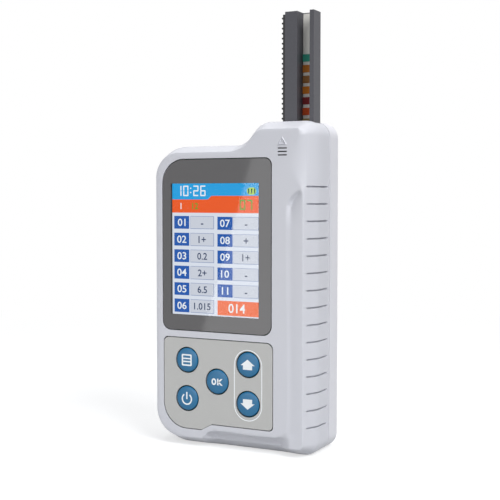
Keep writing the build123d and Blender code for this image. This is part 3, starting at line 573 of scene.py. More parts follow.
@dataclass(frozen=True)
class Finish:
    """Colour and surface of one material.

    Attributes:
        name: Name of the material.
        colour: Display colour as 8-bit red, green and blue.
        rough: Mean roughness.
        kind: How the fine surface is built up.
        metal: Metallic share.
        grain: Width of the grain in millimetres.
        relief: Height of the grain in millimetres.
        drift: Share by which the colour drifts over the surface.
        coat: Weight of a clear coat.
    """

    name: str
    colour: tuple[int, int, int]
    rough: float = 0.5
    kind: Kind = Kind.MOULDED
    metal: float = 0.0
    grain: float = 0.35
    relief: float = 0.012
    drift: float = 0.03
    coat: float = 0.0

    def build(self) -> bpy.types.Material:
        """Node material in the object's own coordinates.

        Returns:
            The material, made once for each name.
        """
        name = f"finish_{self.name}"
        known = bpy.data.materials.get(name)
        if known:
            return known
        material = bpy.data.materials.new(name)
        graph = Graph(material)
        shader = graph.nodes["Principled BSDF"]
        stretch = graph.add("Mapping", {"Vector": graph.place()})
        if self.kind is Kind.BRUSHED:
            stretch.inputs["Scale"].default_value = (1.0, 1.0, BRUSH_STRETCH)
        place = stretch.outputs["Vector"]
        broad = graph.add("TexNoise", {"Scale": BROAD_SCALE, "Detail": BROAD_DETAIL, "Vector": place})
        base = np.array(srgb(*self.colour))
        low, high = base * (1 - self.drift), np.minimum(base * (1 + self.drift), 1.0)
        colour = graph.blend(broad.outputs["Fac"], (*low[:3], 1.0), (*high[:3], 1.0))
        detail = PAPER_DETAIL if self.kind is Kind.PAPER else FINE_DETAIL
        grain = graph.add("TexNoise", {"Scale": 1.0 / (self.grain * MM), "Detail": detail, "Vector": place})
        fine = grain.outputs["Fac"]
        spread = ROUGH_SPREAD * self.rough
        limits = {
            "To Min": max(ROUGH_LEAST, self.rough - spread), "To Max": min(1.0, self.rough + spread),
        }  # fmt: skip
        rough = graph.add("MapRange", {"Value": fine, **limits})
        graph.feed(shader, {"Base Color": colour, "Roughness": rough.outputs["Result"]})
        if self.kind is not Kind.POLISHED:
            bump = graph.add(
                "Bump", {"Distance": self.relief * MM, "Strength": BUMP_STRENGTH, "Height": fine}
            )
            graph.feed(shader, {"Normal": bump.outputs["Normal"]})
        surface = {"Metallic": self.metal, "Coat Weight": self.coat, "Coat Roughness": COAT_ROUGHNESS}
        graph.feed(shader, surface)
        return material


CASE = Finish("case_front", (206, 207, 214), rough=0.5, grain=0.3, relief=0.010, drift=0.015)
# Painted light: the rear shell gets a lighter copy of the case plastic, standing in for the light that
# falls on its side strip.
CASE_REAR_LIT = Finish("case_rear_lit", (219, 219, 225), rough=0.5, grain=0.3, relief=0.010, drift=0.015)
PANEL = Finish("keypad_grey", (186, 186, 184), rough=0.5, grain=0.2, relief=0.006, drift=0.02)
KEY = Finish("key_blue", (14, 102, 146), rough=0.34, grain=0.4, relief=0.006, drift=0.04)
PRINT = Finish("legend_white", (240, 243, 245), rough=0.45, grain=0.15, relief=0.004, drift=0.01)
TRAY = Finish("tray_grey_teeth_shade", (69, 69, 75), rough=0.5, grain=0.3, relief=0.014, drift=0.05)
DARK = Finish("dark_plastic", (30, 30, 33), rough=0.55, grain=0.3, relief=0.015, drift=0.1)
GUIDE = Finish("guide_plastic", (52, 52, 56), rough=0.55, grain=0.35, relief=0.014, drift=0.08)
STEEL = Finish("steel", (168, 170, 174), rough=0.3, kind=Kind.BRUSHED, metal=1.0, grain=0.2)
SHEET = Finish("sheet_steel", (184, 184, 188), rough=0.36, kind=Kind.BRUSHED, metal=1.0, grain=0.25)
BRASS = Finish("brass", (200, 168, 98), rough=0.28, kind=Kind.BRUSHED, metal=1.0, grain=0.2)
BOARD = Finish("board_green", (34, 96, 58), rough=0.4, grain=0.8, relief=0.02, drift=0.25)
FILM = Finish("flex_film", (196, 128, 52), rough=0.32, grain=0.6, relief=0.004, drift=0.12)
FOIL = Finish("cell_foil", (182, 184, 188), rough=0.36, kind=Kind.BRUSHED, metal=0.9, grain=0.5)
FOAM = Finish("foam", (44, 44, 46), rough=0.9, kind=Kind.PAPER, grain=0.5, relief=0.08, drift=0.15)
WHITE = Finish("white_plastic", (226, 226, 222), rough=0.5, grain=0.3, relief=0.01, drift=0.02)
GEAR = Finish("gear_plastic", (226, 221, 202), rough=0.45, grain=0.3, relief=0.01, drift=0.03)
STRIP = Finish("strip_white", (226, 224, 218), rough=0.5, grain=0.5, relief=0.006, drift=0.02)
GLASS = Finish("display_glass", (70, 76, 86), rough=0.06, kind=Kind.POLISHED, drift=0.05)
LENS = Finish("lens_glass", (120, 140, 160), rough=0.05, kind=Kind.POLISHED, drift=0.05)

NODE_FINISHES = {
    "rear_shell": CASE_REAR_LIT, "case_screws": STEEL, "keypad_panel": PANEL, "tact_switches": DARK,
    "lcd_glass": GLASS, "lcd_backlight": SHEET, "lcd_holder": DARK, "lcd_flex": FILM,
    "main_board": BOARD, "board_screws": STEEL, "board_chips": DARK, "buzzer": DARK,
    "usb_socket": SHEET, "battery_cell": FOIL, "cell_foam": FOAM, "battery_plug": WHITE,
    "tray_guide": GUIDE, "guide_screws": STEEL, "guide_cover": GUIDE, "cover_screws": STEEL,
    "shaft_bush": BRASS, "tray_motor": SHEET, "motor_screws": STEEL, "tray_eye": DARK,
    "optics_housing": DARK, "optics_screws": STEEL, "optics_lens": LENS, "sensor_card": BOARD,
    "sensor_lamps": WHITE, "light_sensor": DARK, "sensor_ribbon": FILM, "test_strip": STRIP,
    "drive_shaft": STEEL, "rack_pinion": GEAR, "reduction_gear": GEAR, "motor_shaft": STEEL,
    "motor_pinion": BRASS, "plunger_menu": DARK, "plunger_power": DARK, "plunger_ok": DARK,
    "plunger_up": DARK, "plunger_down": DARK,
}  # fmt: skip


def window_material(
    lit_low: tuple[float, float], lit_high: tuple[float, float]
) -> bpy.types.Material:
    """Smoked window: dark print on the border, clear over the lit area.

    The clear part mirrors 0.02 + 0.98 f^5 of the light, where f is the share by which the surface
    turns from the eye.

    Args:
        lit_low: Lower left corner of the lit area in millimetres.
        lit_high: Upper right corner of the lit area in millimetres.

    Returns:
        The material.
    """
    head_on, power = 0.02, 5.0
    finish = Finish("window_print", (101, 100, 101), rough=0.05, kind=Kind.POLISHED, drift=0.02)
    material = finish.build()
    graph = Graph(material)
    border = graph.nodes["Principled BSDF"]
    border.inputs["IOR"].default_value = 1.33
    lit = graph.within(lit_low, lit_high)
    clear = graph.add("BsdfTransparent", {"Color": (0.96, 0.96, 0.96, 1)})
    gloss = graph.add("BsdfGlossy", {"Roughness": 0.03})
    steep = graph.math("POWER", graph.add("LayerWeight").outputs["Facing"], power)
    pane = graph.mix(graph.math("MULTIPLY_ADD", steep, 1 - head_on, head_on), clear, gloss)
    graph.surface(graph.mix(lit, border, pane))
    return material


def tray_material(shaded_teeth_x: float) -> bpy.types.Material:
    """Grey moulded tray with its rack teeth painted nearly black as painted shade.

    Args:
        shaded_teeth_x: X in millimetres that the teeth lie left of.

    Returns:
        The material.
    """
    material = TRAY.build()
    graph = Graph(material)
    # Painted shade: the rack teeth are tinted nearly black for the shade that lies between them.
    graph.tint(graph.math("LESS_THAN", graph.axes()[0], shaded_teeth_x * MM), srgb(16, 16, 18))
    return material


def pads_material(top: float, pitch: float, colours: list[tuple[int, int, int]]) -> bpy.types.Material:
    """Absorbent pads that each take the next colour down the strip.

    Args:
        top: Height in millimetres halfway between the first pad and one pitch above it.
        pitch: Distance between pads in millimetres.
        colours: Display colour of each pad from the top.

    Returns:
        The material.
    """
    finish = Finish("pad_paper", (200, 120, 40), rough=0.85, kind=Kind.PAPER, grain=0.25, relief=0.05)
    material = finish.build()
    graph = Graph(material)
    foot = top - pitch * len(colours)
    span = {"Value": graph.axes()[2], "From Min": top * MM, "From Max": foot * MM}
    number = graph.add("MapRange", span)
    ramp = graph.add("ValToRGB", {"Fac": number.outputs["Result"]})
    ramp.color_ramp.interpolation = "CONSTANT"
    stops = ramp.color_ramp.elements
    while len(stops) < len(colours):
        stops.new(len(stops) / len(colours))
    for k, colour in enumerate(colours):
        stops[k].position = k / len(colours)
        stops[k].color = srgb(*colour)
    fibre = graph.add("TexNoise", {"Scale": 2600.0, "Detail": 5.0})
    blot = graph.blend(0.3, ramp.outputs["Color"], fibre.outputs["Color"], "MULTIPLY")
    graph.feed(graph.nodes["Principled BSDF"], {"Base Color": blot})
    return material


def glow_material(name: str, colour: tuple[int, int, int], strength: float) -> bpy.types.Material:
    """Lit display colour with the faint unevenness of its back light.

    Args:
        name: Name of the material.
        colour: Display colour.
        strength: Mean strength.

    Returns:
        The material.
    """
    unevenness = 0.03
    material = bpy.data.materials.new(name)
    graph = Graph(material)
    graph.nodes.remove(graph.nodes["Principled BSDF"])
    haze = graph.add("TexNoise", {"Scale": 30.0, "Vector": graph.place()})
    limits = {"To Min": (1 - unevenness) * strength, "To Max": (1 + unevenness) * strength}
    level = graph.add("MapRange", {"Value": haze.outputs["Fac"], **limits})
    graph.surface(graph.add("Emission", {"Strength": level.outputs["Result"], "Color": srgb(*colour)}))
    return material


def label_material() -> bpy.types.Material:
    """Plain satin label with a thin grey line inside its edge.

    Returns:
        The material.
    """
    low, high = (corner[[0, 2]] for corner in node_box("rear_label"))
    material = Finish("label", (232, 232, 230), rough=0.35, grain=0.5, relief=0.003, drift=0.01).build()
    graph = Graph(material)
    outer, inner = (graph.within(low + edge, high - edge) for edge in (1.2, 1.5))
    graph.tint(graph.math("SUBTRACT", outer, inner), srgb(130, 132, 138))
    return material


# ---- case ----------------------------------------------------------------------------------
@dataclass
class CaseFront:
    """Front half of the case as one smooth skin with a wall.

    The side is a grid: each point of the outline, drawn in along its normal by the side profile
    at each depth.  The front is a flat field of triangles, let in over the finger scoop.
    """

    left: float = -35.0
    right: float = 35.0
    height: float = 126.0
    shoulder: float = 117.4
    tower_width: float = 23.5
    ramp_angle: float = 50.0
    front: float = -13.775
    parting: float = 3.625
    wall: float = 1.2
    profile: tuple = (
        (0.0, 3.55), (0.05, 3.4), (0.18, 3.26), (0.45, 3.1), (1.0, 2.83), (2.0, 2.34),
        (3.2, 1.75), (4.5, 1.11), (5.5, 0.63), (6.3, 0.31), (7.1, 0.11), (8.1, 0.02), (9.5, 0.0),
        (13.5, 0.0),
    )  # fmt: skip
    broad_profile: tuple = (
        (0.0, 8.9), (0.05, 7.8), (0.18, 6.6), (0.45, 5.3), (1.0, 3.85), (2.0, 2.6), (3.2, 1.8),
        (4.5, 1.15), (5.5, 0.73), (6.3, 0.45), (7.1, 0.24), (8.1, 0.08), (9.5, 0.0), (13.5, 0.0),
    )  # fmt: skip
    shoulder_ease: float = 0.2
    tower_ease: float = 0.06
    groove_first: float = 11.45
    groove_pitch: float = 6.42
    groove_count: int = 15
    groove_depth: float = 1.0
    groove_half: tuple[float, float] = (0.27, 0.33)
    groove_ends: tuple[float, float] = (-11.95, 1.55)
    plateau: tuple = (
        (31.7, 101.6), (29.9, 100.3), (27.9, 98.9), (26.0, 97.0), (24.9, 94.6), (24.5, 90.0),
        (24.5, 76.0), (24.7, 59.0), (24.9, 40.0), (25.0, 22.0), (24.9, 13.0), (24.4, 9.9),
        (22.9, 7.8), (19.8, 6.9), (10.9, 6.85), (3.0, 6.9), (-4.7, 7.0), (-7.4, 6.7),
        (-9.6, 5.4), (-12.0, 3.0),
    )  # fmt: skip
    plateau_close: tuple = ((-12.0, -10.0), (60.0, -10.0), (60.0, 101.5))  # round the outside of it
    radii: tuple = (14.0, 5.5, 6.0, 8.0, 8.0, 13.0)  # of the outline, from the lower left corner on
    tray_gap: float = 0.3
    socket_gap: float = 0.4
    mouth_band: float = 0.6  # below the top, where the mouth for the tray is cut
    mouth_facing: float = 0.88  # least upward part of the normal there
    mouth_slack: float = 0.4  # further cut into the corner of the tower
    scoop_depths: tuple[float, float] = (2.4, 0.45)  # low down and at the upper end
    scoop_walls: tuple[float, float] = (1.5, 2.6)
    scoop_change: tuple[float, float] = (85.0, 12.0)  # foot and height of the change between them
    scoop_end: tuple[float, float] = (102.2, 4.0)  # top and height of its run-out
    foot_drop: float = 3.2
    foot_span: tuple[float, float] = (-11.5, 26.5)
    foot_eases: tuple[float, float] = (5.0, 6.0)
    foot_curve: float = 2.2
    foot_blend: tuple[float, float] = (10.0, 4.0)
    foot_depth: float = 9.5  # behind the front, where the drop of the rim has faded out
    groove_fade: float = 0.2
    extra_rows: tuple[float, float] = (-5.8, 0.8)
    parting_rim: tuple[float, float] = (0.6, 0.9)  # depth and inset of the step at the parting line
    tower_blend: float = 6.0
    crest_blend: tuple[float, float] = (98.0, 11.0)  # foot and height of the change to the broad round
    crest_facing: tuple[float, float] = (0.15, 0.7)
    crest_ease: tuple[float, float, float] = (0.65, 113.0, 7.0)  # share, foot and height of its easing
    corner_round: float = 0.5
    corner_run: float = 3.0
    fine_step: float = 0.42  # of the triangles over the scoop and the foot
    coarse_step: float = 1.6
    fine_lefts: tuple[float, float] = (23.0, -16.0)  # of the scoop and the foot
    fine_tops: tuple[float, float] = (103.0, 9.0)
    field_margin: float = 3.0
    field_gap: float = 0.55  # from the loops to the next points, in steps
    weld: float = 0.004
    split_angle: float = 38.0

    def __post_init__(self) -> None:
        """Place the mouth for the tray and the hole for the socket."""
        low, high = node_box("strip_tray")
        self.mouth = (low[0] - self.tray_gap, high[0] + self.tray_gap, low[1] - self.tray_gap)
        low, high = node_box("usb_socket")
        low, high = low - self.socket_gap, high + self.socket_gap
        self.socket = (low[2], high[2], low[1], high[1])

    def outline(self) -> tuple[np.ndarray, np.ndarray]:
        """Widest outline of the case.

        Returns:
            Its points and their outward normals.
        """
        head = self.right - self.tower_width
        foot = head - (self.height - self.shoulder) / tan(radians(self.ramp_angle))
        grooves = [
            self.groove_first + k * self.groove_pitch + step
            for k in range(self.groove_count)
            for step in (-self.groove_half[1], -self.groove_half[0], *self.groove_half)
        ]
        places = (
            (self.left, 0.0), (self.right, 0.0), (self.right, self.height), (head, self.height),
            (foot, self.shoulder), (self.left, self.shoulder),
        )  # fmt: skip
        corners = [(x, z, radius) for (x, z), radius in zip(places, self.radii)]
        stations = {1: grooves, 2: list(self.mouth[:2]), 5: list(self.socket[:2])}
        return Outline(corners, arc_steps=20, spacing=3.0, stations=stations).sample()

    def drop(self, x: np.ndarray) -> np.ndarray:
        """How far the lower rim of the front stands back, faded in and out along X.

        Args:
            x: X of each point.

        Returns:
            Depth of each point.
        """
        (low, high), (rise, fall) = self.foot_span, self.foot_eases
        return self.foot_drop * smooth((x - low) / rise) * smooth((high - x) / fall)

    def scoop(self, points: np.ndarray, rim: np.ndarray) -> np.ndarray:
        """How far the front is let in at each point.

        Right of the raised panel the depth steps in at its edge and runs out to nothing at the
        rim as the square of the distance left.  Under the panel it falls away, steep at first,
        as far as the rim's own drop.

        Args:
            points: Points (x, z) on the front.
            rim: Outer loop of the front.

        Returns:
            Depth of each point.
        """
        line = np.array(self.plateau)
        outside = np.concatenate([line, self.plateau_close])
        z = points[:, 1]
        gap = distance(points, line, closed=False)
        edge = distance(points, rim, closed=True)
        share = gap / np.maximum(gap + edge, 1e-6)
        start, rise = self.scoop_change
        high = smooth((z - start) / rise)
        pairs = (self.scoop_depths, self.scoop_walls)
        deep, wall = (lower + (upper - lower) * high for upper, lower in pairs)
        end, run = self.scoop_end
        side = deep * smooth(gap / wall) * (1 - share) ** 2
        side = side * smooth((end - z) / run)
        level = np.maximum(z - rim[:, 1].min(), 0)
        fall = 1 - (1 - gap / np.maximum(gap + level, 1e-6)) ** self.foot_curve
        foot = self.drop(points[:, 0]) * fall
        top, run = self.foot_blend
        depth = side + (foot - side) * smooth((top - z) / run)
        return np.where(inside(points, outside), depth, 0.0)

    def side_depths(self) -> np.ndarray:
        """Depths of the rows of the side grid, with rows at the edges of its openings.

        Returns:
            The depths from the front to the parting line.
        """
        rows = [self.front + d for d, _ in self.profile]
        rows += [end + way * self.groove_fade for end in self.groove_ends for way in (-1, 1)]
        rows += [*self.mouth[2:], *self.socket[2:], self.parting - self.parting_rim[0], self.parting]
        rows += self.extra_rows
        return np.array(sorted(set(round(r, 4) for r in rows)))

    def inset(self, depth: np.ndarray, outline: np.ndarray, normals: np.ndarray) -> np.ndarray:
        """Side profile: how far the side stands in at each depth behind the front.

        The profile is eased on the upper edges, and the crest beside the tower blends into a
        broad round above the scoop.

        Args:
            depth: Depths behind the front.
            outline: Points of the widest outline.
            normals: Their outward normals.

        Returns:
            Array of insets, one row for each depth and one column for each point.
        """
        crisp = np.interp(depth, *np.array(self.profile).T)
        broad = np.interp(depth, *np.array(self.broad_profile).T)
        up = np.clip(normals[:, 1], 0, 1)
        z = outline[:, 1]
        tall = smooth((z - self.shoulder) / self.tower_blend)
        ease = 1 - up * (self.shoulder_ease + (self.tower_ease - self.shoulder_ease) * tall)
        (start, rise), (least, reach) = self.crest_blend, self.crest_facing
        blend = smooth((z - start) / rise) * smooth((normals[:, 0] - least) / reach)
        share, start, rise = self.crest_ease
        blend = blend * (1 - share * smooth((z - start) / rise))
        corner = np.clip(-normals[:, 0], 0, 1) * np.clip(-normals[:, 1], 0, 1) * 2
        turn = 1 + self.corner_round * smooth(depth / self.corner_run)[:, None] * corner[None]
        return crisp[:, None] * ease[None] * turn + (broad - crisp)[:, None] * blend[None]

    def side_faces(self, outline: np.ndarray, normals: np.ndarray, depths: np.ndarray) -> list:
        """Faces of the side grid, less those in the mouth for the tray and in the socket's hole.

        Args:
            outline: Points of the widest outline.
            normals: Their outward normals.
            depths: Depths of the rows.

        Returns:
            Corner numbers of each face.
        """
        n, rows = len(outline), len(depths)
        k = np.arange(n)
        j = (k + 1) % n
        x, z = ((outline + outline[j]) / 2).T
        y = ((depths[:-1] + depths[1:]) / 2)[:, None]
        top = (z > self.height - self.mouth_band) & (normals[:, 1] > self.mouth_facing)
        top &= (x > self.mouth[0]) & (x < self.mouth[1] + self.mouth_slack)
        side = (normals[:, 0] < -STRAIGHT) & (normals[j, 0] < -STRAIGHT)
        side &= (z > self.socket[0]) & (z < self.socket[1])
        gone = top & (y > self.mouth[2]) | side & (y > self.socket[2]) & (y < self.socket[3])
        first = n * np.arange(rows - 1)[:, None]
        quads = np.stack([first + k, first + n + k, first + n + j, first + j], -1)
        return quads[~gone].tolist()

    def build(self, holes: list[np.ndarray]) -> bpy.types.Object:
        """Make the skin.

        Args:
            holes: Loops cut out of the front.

        Returns:
            The piece that stands for the front shell.
        """
        outline, normals = self.outline()
        depths = self.side_depths()
        insets = self.inset(depths - self.front, outline, normals)
        insets[-1] = self.parting_rim[1]
        n, rows = len(outline), len(depths)
        flat = outline[None] - insets[..., None] * normals[None]
        grid = np.zeros((rows, n, 3))
        grid[..., 0], grid[..., 2] = flat[..., 0], flat[..., 1]
        foot = np.where(normals[:, 1] < -STRAIGHT, self.drop(outline[:, 0]), 0.0)
        fade = np.clip(1 - (depths - self.front) / self.foot_depth, 0, 1)
        grid[..., 1] = depths[:, None] + foot[None] * fade[:, None]
        centres = self.groove_first + self.groove_pitch * np.arange(self.groove_count)
        gap = np.abs(outline[:, 1][:, None] - centres[None]).min(1)
        narrow, wide = self.groove_half
        on_side = (normals[:, 0] > STRAIGHT) & (gap < wide)
        cut = np.where(on_side, np.clip((wide - gap) / (wide - narrow), 0, 1), 0.0)
        start, stop = self.groove_ends
        ease = self.groove_fade
        reach = np.clip((depths - start + ease) / (2 * ease), 0, 1)
        reach = reach * np.clip((stop + ease - depths) / (2 * ease), 0, 1)
        grid[..., 0] -= self.groove_depth * cut[None] * reach[:, None]
        faces = self.side_faces(outline, normals, depths)
        points = grid.reshape(-1, 3)
        front_points, front_faces = self.front_field(flat[0], holes)
        faces += (np.array(front_faces) + len(points)).tolist()
        points = np.concatenate([points, front_points])
        piece = make_object("case_front", points, faces, [CASE.build()], sharp=None)
        work = bmesh.new()
        work.from_mesh(piece.data)
        bmesh.ops.remove_doubles(work, verts=work.verts, dist=self.weld * MM)
        for face in work.faces:
            face.smooth = True
        work.to_mesh(piece.data)
        work.free()
        shell = piece.modifiers.new("wall", "SOLIDIFY")
        shell.thickness = self.wall * MM
        shell.offset = -1.0
        split = piece.modifiers.new("edges", "EDGE_SPLIT")
        split.split_angle = radians(self.split_angle)
        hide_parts("front_shell")
        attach(piece, "case")
        return piece

    def front_field(self, rim: np.ndarray, holes: list[np.ndarray]) -> tuple[np.ndarray, list]:
        """Triangles between the rim and the holes, let in over the scoop.

        Args:
            rim: Outer loop, shared with the side grid.
            holes: Loops that are left open.

        Returns:
            Points and faces.
        """
        loops = [rim, *holes]
        fixed = np.concatenate(loops)
        edges, start = [], 0
        for loop in loops:
            n = len(loop)
            edges += [(start + k, start + (k + 1) % n) for k in range(n)]
            start += n
        fill = []
        margin = self.field_margin
        for number, step in enumerate((self.fine_step, self.fine_step, self.coarse_step)):
            xs = np.arange(self.left + margin, self.right - margin, step)
            zs = np.arange(margin, self.height - margin, step)
            grid = np.stack(np.meshgrid(xs, zs), -1).reshape(-1, 2)
            grid[:, 0] += step / 2 * (np.round(grid[:, 1] / step) % 2)
            grid = grid[self.region(grid) == number]
            clear = step * self.field_gap
            keep = inside(grid, rim) & (distance(grid, rim, True) > clear)
            for hole in holes:
                box = (grid > hole.min(0) - 1).all(1) & (grid < hole.max(0) + 1).all(1)
                near = np.zeros(len(grid), bool)
                near[box] = inside(grid[box], hole) | (distance(grid[box], hole, True) < clear)
                keep &= ~near
            fill.append(grid[keep])
        flat = np.concatenate([fixed, *fill])
        result = delaunay_2d_cdt([Vector(p) for p in flat.tolist()], edges, [], 1, 1e-6)
        points = np.array([tuple(v) for v in result[0]])
        faces = np.array(result[2])
        middles = points[faces].mean(1)
        keep = inside(middles, rim)
        for hole in holes:
            keep &= ~inside(middles, hole)
        faces = faces[keep]
        a, b, c = (points[faces[:, k]] for k in range(3))
        back = np.cross(b - a, c - a) < 0
        faces[back] = faces[back][:, ::-1]
        depth = self.scoop(points, rim)
        placed = np.stack([points[:, 0], self.front + depth, points[:, 1]], 1)
        return placed, faces.tolist()

    def region(self, points: np.ndarray) -> np.ndarray:
        """Part of the front that each point lies in.

        Args:
            points: Points (x, z).

        Returns:
            0 over the scoop, 1 over the foot and 2 elsewhere.
        """
        scoop, foot = (
            (points[:, 0] > left) & (points[:, 1] < top)
            for left, top in zip(self.fine_lefts, self.fine_tops)
        )
        return np.where(scoop, 0, np.where(foot, 1, 2))


@dataclass
class Panels:
    """Outlines of the window, the keypad panel and the small mark beside the tray."""

    grow: float = 0.34  # from each panel to the edge of its hole
    window_radii: tuple = (3.7, 3.7, 2.9, 9.6)  # from the lower left corner on
    keypad_radii: tuple = (10.0, 1.2, 1.5, 1.7, 2.6, 2.0)
    notch_left: float = 16.9
    notch_run: float = 4.6
    notch_rise: float = 2.5
    mark_x: float = 23.15
    mark_top: float = 115.6
    mark_pitch: float = 1.275
    mark_width: float = 3.9
    mark_bar: float = 0.5
    # Painted shade: a dark plastic plate lies behind the bar slots, so that they show dark where shade
    # falls.
    mark_shade_floor: tuple[float, float, float, float] = (2.6, 1.0, 0.45, 0.9)  # half width, margin, depths
    head_height: float = 3.1
    head_shares: tuple[float, float] = (0.78, 0.56)  # size of the crest and the inner edge
    head_depths: tuple[float, float] = (0.02, -0.34)  # of the edges and the crest

    def hole(self, node: str) -> tuple[float, float, float, float]:
        """Sides of the hole for a panel.

        Args:
            node: Name of the panel's node.

        Returns:
            Left, right, base and top.
        """
        low, high = node_box(node)
        return low[0] - self.grow, high[0] + self.grow, low[2] - self.grow, high[2] + self.grow

    def window(self) -> np.ndarray:
        """Hole for the window.

        Returns:
            Its corners.
        """
        left, right, base, top = self.hole("display_window")
        places = box_loop(left, right, base, top)
        corners = [(x, z, radius) for (x, z), radius in zip(places, self.window_radii)]
        return Outline(corners, 12, 2.0).sample()[0]

    def keypad(self) -> np.ndarray:
        """Hole for the keypad panel, with the notch in its lower edge.

        Returns:
            Its corners.
        """
        left, right, base, top = self.hole("keypad_panel")
        foot, sill = left + self.notch_left, base + self.notch_rise
        places = (
            (left, base), (foot, base), (foot + self.notch_run, sill), (right, sill), (right, top),
            (left, top),
        )  # fmt: skip
        corners = [(x, z, radius) for (x, z), radius in zip(places, self.keypad_radii)]
        return Outline(corners, 12, 2.0).sample()[0]

    def bars(self) -> list[np.ndarray]:
        """Slots of the three bars of the mark.

        Returns:
            Corners of each.
        """
        reach, radius = (self.mark_width - self.mark_bar) / 2, self.mark_bar / 2
        left, right = self.mark_x - reach, self.mark_x + reach
        return [
            level_slot(left, right, self.mark_top - k * self.mark_pitch, radius, 6) for k in range(3)
        ]

    def build_mark(self, front: float) -> None:
        """Dark plate behind the bars, which paints the shade in them, and the raised arrow head over them.

        Args:
            front: Depth of the front of the case.
        """
        half, margin, near, far = self.mark_shade_floor
        low, high = self.mark_top - 2 * self.mark_pitch - margin, self.mark_top + margin
        slab = Slab(front + near, front + far)
        slab.prism(box_loop(self.mark_x - half, self.mark_x + half, low, high))
        shade_plate = slab.make("mark_shade_floor", DARK.build())
        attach(shade_plate, "case")
        base, half = self.mark_top + self.mark_pitch, self.mark_width / 2
        left, right = self.mark_x - half, self.mark_x + half
        outer = np.array([(left, base), (right, base), (self.mark_x, base + self.head_height)])
        middle = outer.mean(0)
        crest, inner = (middle + (outer - middle) * share for share in self.head_shares)
        edge, top = self.head_depths
        rows = [(outer, front + edge), (crest, front + top), (inner, front + edge)]
        points = [(x, y, z) for loop, y in rows for x, z in loop]
        faces = []
        for row in range(2):
            for k in range(3):
                j = (k + 1) % 3
                faces.append([row * 3 + k, row * 3 + j, row * 3 + 3 + j, row * 3 + 3 + k])
        arrow = make_object("mark_arrow", np.array(points), faces, [CASE.build()], sharp=None)
        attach(arrow, "case")


# ---- keys ----------------------------------------------------------------------------------
class Legend(Enum):
    """Sign on a key."""

    MENU = "menu"
    POWER = "power"
    OK = "ok"
    UP = "up"
    DOWN = "down"


